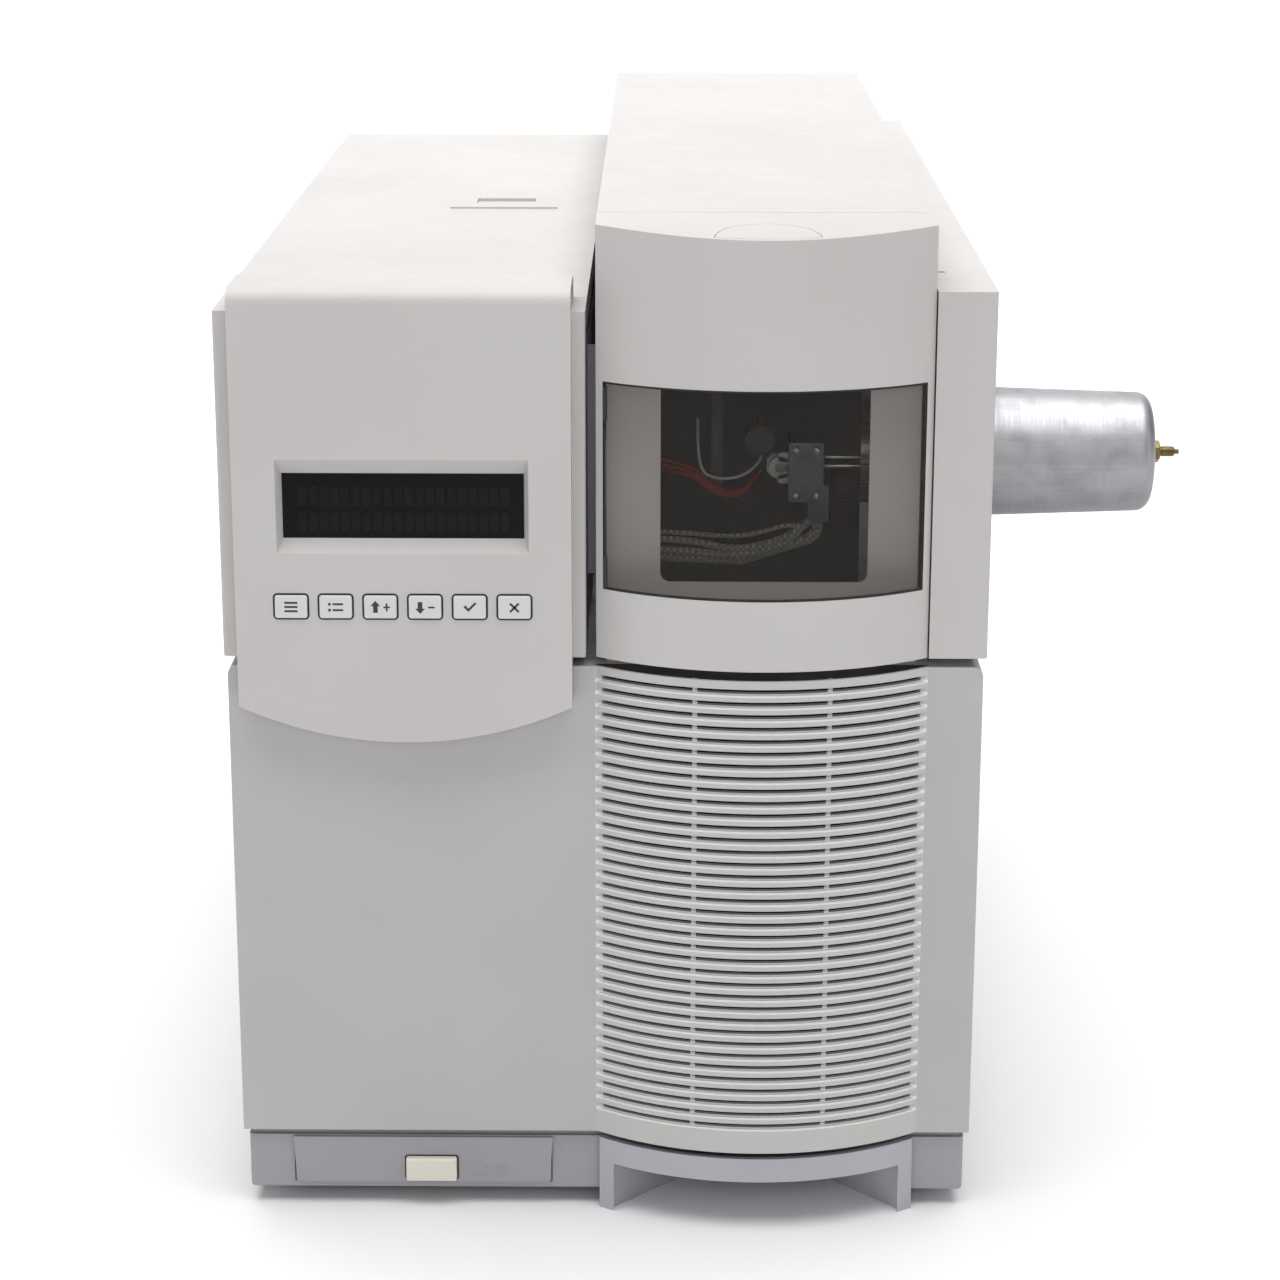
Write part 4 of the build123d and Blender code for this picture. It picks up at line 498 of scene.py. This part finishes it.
def lathe(shape, profile, place, steps=32):
    """Adds a turned form: radius and height pairs in millimetres about the place's own Z."""
    rings = [[shape.verts.new(place @ mm(r * cos(2 * pi * i / steps), r * sin(2 * pi * i / steps), h))
              for i in range(steps)] for r, h in profile]
    for low_ring, high_ring in zip(rings, rings[1:]):
        for i, j in neighbours(steps):
            shape.faces.new((low_ring[i], low_ring[j], high_ring[j], high_ring[i])).smooth = True
    shape.faces.new(rings[0][::-1])
    shape.faces.new(rings[-1])


def at(x, y, z, turn=None):
    """Place in millimetres, turned if need be."""
    move = Matrix.Translation(mm(x, y, z))
    return move @ turn if turn is not None else move


def block(name, low, high, edge, material, body="chassis"):
    """Block between two corners with its edges rounded by edge mm."""
    shape = bmesh.new()
    (x0, y0, z0), (x1, y1, z1) = low, high
    prism(shape, [(x0, y0), (x1, y0), (x1, y1), (x0, y1)], z1 - z0, at(0, 0, z0))
    bmesh.ops.bevel(shape, geom=shape.edges[:], offset=mm(edge), segments=3, profile=0.5, affect="EDGES")
    return fit(name, shape, material, body)


# ------------------------------------------------------------------ keys: symbols and mat
def arrow(x, y, point):
    """Short block arrow whose point is up or down."""
    return [(x + a, y + b * point) for a, b in
            ((0, 2.6), (-1.9, 0.5), (-0.9, 0.5), (-0.9, -2.2), (0.9, -2.2), (0.9, 0.5), (1.9, 0.5))][::point]


KEY_SYMBOLS = (
    [bar(0, y, 5.2, 0.8) for y in (1.7, 0.0, -1.7)],
    [bar(-2.4, y, 1.1, 1.1) for y in (1.2, -1.2)] + [bar(0.9, y, 4.2, 0.8) for y in (1.2, -1.2)],
    [arrow(-1.9, 0, 1), bar(2.5, 0, 2.6, 0.7), bar(2.5, 1.0, 0.7, 1.3), bar(2.5, -1.0, 0.7, 1.3)],
    [arrow(-1.9, 0, -1), bar(2.5, 0, 2.6, 0.7)],
    [[(-2.4, 0.2), (-1.7, 0.9), (-0.5, -0.4), (2.1, 2.2), (2.7, 1.6), (-0.5, -1.7)]],
    [bar(0, 0, 5.0, 0.85, pi / 4), bar(0, 0, 5.0, 0.85, -pi / 4)])
INK = 0.05                  # print and how far its back sinks into the cap
CAP_FACE = BEZEL_FACE - 1.0
for count, symbol in enumerate(KEY_SYMBOLS):
    mark = bmesh.new()
    for outline in symbol:
        prism(mark, outline, 2 * INK,
              at(KEY_FIRST_X + count * KEY_PITCH, CAP_FACE + INK, KEY_Z, FACING))
    fit(f"key_{count + 1}_symbol", mark, print_ink, f"key_{count + 1}")

# black rings a little proud of the bezel round each cap: painted shade, a dark frame that stands for the
# shadow line in the gap round each cap
KEY_HALF, RING_GAP, RING_WIDE, RING_CORNER = (6.35, 4.6), 0.12, 0.62, 1.2


def rounded(x, y, half_w, half_h, radius, steps=6):
    """Outline of a rectangle with round corners about a point."""
    corners = ((half_w, half_h, 0), (-half_w, half_h, 90),
               (-half_w, -half_h, 180), (half_w, -half_h, 270))
    return [(x + a - radius * (1 if a > 0 else -1) + radius * cos(radians(start + 90 * i / steps)),
             y + b - radius * (1 if b > 0 else -1) + radius * sin(radians(start + 90 * i / steps)))
            for a, b, start in corners for i in range(steps + 1)]


def frame_ring(shape, x, z, size, gap, wide, face, corner):
    """Adds a flat ring with a raised face round a rectangle of half sizes, on a front face at Y."""
    half_w, half_h = size
    outer = rounded(x, z, half_w + gap + wide, half_h + gap + wide, corner + wide)
    inside = rounded(x, z, half_w + gap, half_h + gap, corner)
    rings = [[shape.verts.new(mm(a, face + back, b)) for a, b in path]
             for path, back in ((outer, 0.05), (outer, -0.1), (inside, -0.1), (inside, 0.05))]
    close_tube(shape, rings)


gap_shade_rings = bmesh.new()
for count in range(len(KEY_SYMBOLS)):
    frame_ring(gap_shade_rings, KEY_FIRST_X + count * KEY_PITCH, KEY_Z, KEY_HALF, RING_GAP, RING_WIDE,
               BEZEL_FACE, RING_CORNER)
bmesh.ops.recalc_face_normals(gap_shade_rings, faces=gap_shade_rings.faces)
fit("key_gap_shade_rings", gap_shade_rings, rubber, "chassis")

# black strip along the switch panel's seam, a painted shadow of its gap, and the soft surround of its button
PANEL_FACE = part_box("switch_panel")[0].y * 1000
TRAY_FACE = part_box("base_tray")[0].y * 1000
PANEL_MID, PANEL_HALF = (-76.0, 12.45), (53.2, 9.05)
BUTTON_MID, BUTTON_HALF = (-72.5, 9.8), (10.5, 5.0)
seam = bmesh.new()
# painted shadow: a black strip round the switch panel
frame_ring(seam, *PANEL_MID, PANEL_HALF, 0.02, 0.4, TRAY_FACE, 0.2)
frame_ring(seam, *BUTTON_MID, BUTTON_HALF, 0.15, 0.55, PANEL_FACE, 0.8)
bmesh.ops.recalc_face_normals(seam, faces=seam.faces)
fit("switch_panel_seam_shadow_and_button_surround", seam, rubber, "chassis")

# ------------------------------------------------------------------ display: two rows of twenty faint cells
CELLS, CELL_PITCH, CELL_WIDE, CELL_HIGH, CELL_THICK = 20, 4.15, 3.3, 7.6, 0.04
ROW_HEIGHTS = (10.6, 20.9)  # above the lower edge of the display
GLASS_FACE = BEZEL_FACE + 8.0
cells = bmesh.new()
left, right, low, high = DISPLAY
for row_z in (low + height for height in ROW_HEIGHTS):
    for column in range(CELLS):
        x = (left + right) / 2 + (column - (CELLS - 1) / 2) * CELL_PITCH
        prism(cells, bar(x, row_z, CELL_WIDE, CELL_HIGH), CELL_THICK, at(0, GLASS_FACE, 0, FACING))
fit("display_cells", cells, cell_grey, "chassis")

# ------------------------------------------------------------------ window: gasket round the smoked pane
PANE_LOW, PANE_HIGH, PANE_SIDE = 260.2, 343.3, 2.7


def bow_y(x, inset=0.0):
    """Y of the bowed front at an X, drawn inset from the outside."""
    return BOW_CENTRE - ((BOW_RADIUS - inset) ** 2 - (x - COLUMN_MID) ** 2) ** 0.5


GASKET_STEPS, GASKET_WIDE, GASKET_OUT, GASKET_IN = 40, 0.9, 0.42, 1.2
gasket = bmesh.new()
span = COLUMN_HALF - PANE_SIDE
xs = [COLUMN_MID - span + 2 * span * i / GASKET_STEPS for i in range(GASKET_STEPS + 1)]
loop = [(x, PANE_LOW) for x in xs] + [(x, PANE_HIGH) for x in reversed(xs)]
inside = [(min(max(x, xs[0] + GASKET_WIDE), xs[-1] - GASKET_WIDE),
           z + (GASKET_WIDE if z == PANE_LOW else -GASKET_WIDE)) for x, z in loop]
strands = [[gasket.verts.new(mm(x, bow_y(x, depth), z)) for x, z in path]
           for path, depth in ((loop, GASKET_OUT), (inside, GASKET_OUT),
                               (inside, GASKET_IN), (loop, GASKET_IN))]
close_tube(gasket, strands)
bmesh.ops.recalc_face_normals(gasket, faces=gasket.faces)
fit("pane_gasket", gasket, rubber, "window_cover")
CLIP_WIDE, CLIP_HIGH, CLIP_THICK = 1.8, 13.0, 1.1
for end, clip_z in (("low", PANE_LOW + 7.0), ("high", PANE_HIGH - 9.0)):
    clip = bmesh.new()
    prism(clip, bar(xs[0] + CLIP_WIDE / 2, clip_z, CLIP_WIDE, CLIP_HIGH), CLIP_THICK,
          at(0, bow_y(xs[0] + 1.0, 1.3), 0, FACING))
    fit(f"pane_clip_{end}", clip, black, "window_cover")

# ------------------------------------------------------------------ wiring and fittings behind the window
SLEEVE_Y = CHAMBER_FRONT - 14.0
SLEEVES = ((265.5, 262.5, 1.5), (261.0, 260.0, 1.6), (268.5, 268.0, 1.0))   # height left, mid, radius
for number, (left_z, mid_z, radius) in enumerate(SLEEVES, 1):
    lead(f"heater_sleeve_{number}",
         [(21.8, SLEEVE_Y, left_z), (36, SLEEVE_Y - 1, left_z - 0.5), (50, SLEEVE_Y - 2, mid_z - 1),
          (62, SLEEVE_Y - 2, mid_z + 0.5), (73, SLEEVE_Y - 1, mid_z + 4), (80, SLEEVE_Y, 271),
          (83 + number, SLEEVE_Y + 1, 275), (83.5 + number, SLEEVE_Y + 2, 279)],
         radius, sleeve)

RED_WIRES = ((297.5, 291.5, 283.5), (295.5, 289.5, 282.5), (293.5, 288.5, 284.5))   # heights
for number, (start, mid, end) in enumerate(RED_WIRES, 1):
    lead(f"red_wire_{number}",
         [(22.0, CHAMBER_FRONT - 8, start), (33, CHAMBER_FRONT - 11, start - 1.5),
          (39, CHAMBER_FRONT - 13, mid), (45, CHAMBER_FRONT - 12, mid - 5),
          (52, CHAMBER_FRONT - 11, end), (57, CHAMBER_FRONT - 9, end + 2),
          (60 + number, CHAMBER_FRONT - 1, end + 7)],
         0.8, red_wire)

lead("white_wire",
     [(36.8, CHAMBER_FRONT - 1, 313), (36.6, CHAMBER_FRONT - 8, 303), (38.5, CHAMBER_FRONT - 14, 293.0),
      (46, CHAMBER_FRONT - 17, 291.3), (55, CHAMBER_FRONT - 16, 292.3), (62, CHAMBER_FRONT - 12, 297),
      (64.5, CHAMBER_FRONT - 7, 304), (65, CHAMBER_FRONT - 1, 312)],
     0.6, white_wire)

TURNED_SIDEWAYS = Matrix.Rotation(pi / 2, 4, "Y")
for number, z in enumerate((296.0, 299.7), 1):
    tube_end = bmesh.new()
    lathe(tube_end, [(0.8, 0.0), (0.85, 0.2), (0.85, 24.8), (0.8, 25.0)],
          at(87.5, CHAMBER_FRONT - 12.0, z, TURNED_SIDEWAYS), 20)
    fit(f"calibration_tube_{number}", tube_end, stainless, "chassis")

# lug with its eye beside the valve, and the valve's cap screws
EYE_X, EYE_Z, ARM_OFF = 70.4, 295.0, 4.5
LUG_PLACE = at(0, CHAMBER_FRONT - 9.0, 0, FACING)
lug = bmesh.new()
prism(lug, ring_of(EYE_X, EYE_Z, 4.6, 2.0, 30, 330, 28), 3.0, LUG_PLACE)
for off in (ARM_OFF, -ARM_OFF):
    prism(lug, bar(73.0, EYE_Z + off, 7.0, 4.0), 3.0, LUG_PLACE)
prism(lug, bar(70.0, EYE_Z, 9.5, 10.0), 6.0, at(0, CHAMBER_FRONT - 1.0, 0, FACING))
fit("valve_lug", lug, white, "chassis")

SCREW_HEAD = [(1.5, 0.0), (1.5, 1.2), (1.2, 1.6), (0.8, 1.6), (0.8, 0.8)]
SCREW_PLACES = [(x, z) for z in (304.8, 286.0) for x in (76.5, 84.9)]
for number, (x, z) in enumerate(SCREW_PLACES, 1):
    screw = bmesh.new()
    lathe(screw, SCREW_HEAD, at(x, CHAMBER_FRONT - 21.9, z, FACING), 24)
    fit(f"valve_screw_{number}", screw, zinc, "chassis")

# fine thread on the column fitting
THREAD_START, THREAD_PITCH, THREAD_TURNS = 231.9, 0.75, 6
THREAD_CORE, THREAD_CREST = 2.02, 2.22
LINE_Y, LINE_Z = -174.0, 293.5
thread = bmesh.new()
ridges = [(THREAD_CORE, 0.0)]
for turn in range(THREAD_TURNS):
    ridges += [(THREAD_CREST, (turn + 0.35) * THREAD_PITCH), (THREAD_CREST, (turn + 0.55) * THREAD_PITCH),
               (THREAD_CORE, (turn + 0.95) * THREAD_PITCH)]
lathe(thread, ridges, at(THREAD_START, LINE_Y, LINE_Z, TURNED_SIDEWAYS))
fit("fitting_thread", thread, brass, "chassis")

# black foam over the wall in the gap, where the covers meet
FOAM_LOW, FOAM_HIGH = (-12.0, FRONT + 33.0, 350.6), (-7.9, FRONT + 180.0, 357.5)
block("gap_foam", FOAM_LOW, FOAM_HIGH, 0.6, foam)

# folded front edge of the centre wall, seen in the gap: the solids don't have this strip
WALL_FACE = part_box("centre_wall")[1].x * 1000
FLANGE_BACK, FLANGE_THICK, FLANGE_WIDE = 38.0, 1.0, 3.4
FLANGE_LOW, FLANGE_HIGH = 256.0, 350.0
block("wall_flange", (WALL_FACE - 0.2, FRONT + FLANGE_BACK, FLANGE_LOW),
      (WALL_FACE + FLANGE_WIDE, FRONT + FLANGE_BACK + FLANGE_THICK, FLANGE_HIGH), 0.2, shaded_zinc)

# raised marks beside the power button: a broken ring with its bar, and a bar and ring
marks = bmesh.new()
MARK_Z, MARK_THICK = 9.0, 0.35
for outline in (ring_of(-52.3, MARK_Z, 3.2, 2.6, -235, 55), bar(-52.3, MARK_Z + 2.6, 0.6, 3.0),
                bar(-46.4, MARK_Z, 0.6, 5.6), ring_of(-42.8, MARK_Z, 2.5, 1.9, 0, 360)):
    prism(marks, outline, MARK_THICK, at(0, PANEL_FACE + 0.05, 0, FACING))
fit("switch_marks", marks, plinth, "chassis")

# ------------------------------------------------------------------ studio
CAMERA_AT = (0.0240, -1.4865, 0.5874)
PITCH, YAW, ROLL = -0.279881, -0.008412, -0.001292
LENS, SENSOR_WIDTH = 89.71, 36.0

camera = bpy.data.objects.new("camera", bpy.data.cameras.new("camera"))
bpy.context.scene.collection.objects.link(camera)
camera.data.lens = LENS
camera.data.sensor_width = SENSOR_WIDTH
ahead = Vector((sin(YAW) * cos(PITCH), cos(YAW) * cos(PITCH), sin(PITCH)))
camera.rotation_mode = "QUATERNION"
rolled = Matrix.Rotation(-ROLL, 4, "Z").to_quaternion()
camera.rotation_quaternion = ahead.to_track_quat("-Z", "Y") @ rolled
camera.location = CAMERA_AT
camera.data.clip_start = 0.05
bpy.context.scene.camera = camera
bpy.context.scene.view_settings.view_transform = "Standard"
bpy.context.scene.cycles.caustics_reflective = False
bpy.context.scene.cycles.caustics_refractive = False


def soft_light(name, place, aim, size, power):
    """Square soft box at a place, turned to what it lights."""
    made = bpy.data.objects.new(name, bpy.data.lights.new(name, "AREA"))
    made.data.shape = "RECTANGLE"
    made.data.size, made.data.size_y = size
    made.data.energy = power
    made.location = place
    made.rotation_mode = "QUATERNION"
    made.rotation_quaternion = (Vector(aim) - Vector(place)).to_track_quat("-Z", "Y")
    bpy.context.scene.collection.objects.link(made)


soft_light("roof_box", (0.0, -0.35, 2.3), (0.0, -0.1, 0.2), (2.4, 2.4), 62.0)
soft_light("front_box", (0.25, -2.6, 1.3), (0.0, -0.2, 0.25), (1.6, 1.4), 3.5)
soft_light("camera_fill", (0.03, -1.62, 0.74), (0.0, 0.0, 0.3), (0.3, 0.3), 1.6)
soft_light("backdrop_wash", (0.0, 0.9, 2.4), (0.0, 3.3, 0.9), (3.6, 0.8), 70.0)
soft_light("right_box", (2.3, -1.0, 1.0), (0.0, 0.0, 0.25), (1.4, 1.8), 5.0)
soft_light("left_box", (-2.3, -0.8, 1.0), (0.0, 0.0, 0.25), (1.4, 1.8), 5.0)

world = bpy.data.worlds.new("studio")
bpy.context.scene.world = world
world.use_nodes = True
sky = world.node_tree.nodes["Background"]
sky.inputs["Color"].default_value = linear("f4f5f7")
sky.inputs["Strength"].default_value = 0.32

# pale floor that sweeps up into the backdrop
sweep = bmesh.new()
FLOOR_HALF, FLOOR_FRONT, FLOOR_BACK = 9.0, -6.0, 2.5
SWEEP_RADIUS, SWEEP_STEPS, BACKDROP_TOP = 0.9, 16, 3.5
profile = [(FLOOR_FRONT, 0.0), (FLOOR_BACK, 0.0)]
for step in range(1, SWEEP_STEPS + 1):
    turn = pi / 2 * step / SWEEP_STEPS
    profile.append((FLOOR_BACK + SWEEP_RADIUS * sin(turn), SWEEP_RADIUS * (1 - cos(turn))))
profile.append((FLOOR_BACK + SWEEP_RADIUS, BACKDROP_TOP))
rows = [[sweep.verts.new((side * FLOOR_HALF, y, z + mm(BENCH))) for y, z in profile] for side in (-1, 1)]
for left, right, right_on, left_on in zip(rows[0], rows[1], rows[1][1:], rows[0][1:]):
    sweep.faces.new((left, right, right_on, left_on)).smooth = True
floor_mesh = bpy.data.meshes.new("floor")
sweep.to_mesh(floor_mesh)
sweep.free()
floor = bpy.data.objects.new("floor", floor_mesh)
bpy.context.scene.collection.objects.link(floor)
floor_paint, floor_tree, floor_shader = finish("studio_paper", ior=1.45)
join(floor_tree, floor_shader, colour=blend(floor_tree, speckle(floor_tree, 400.0), "f1f1f1", "f5f5f5"),
     rough=between(floor_tree, speckle(floor_tree, 3.0), 0.75, 0.85))
floor_mesh.materials.append(floor_paint)
floor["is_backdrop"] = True

low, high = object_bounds()
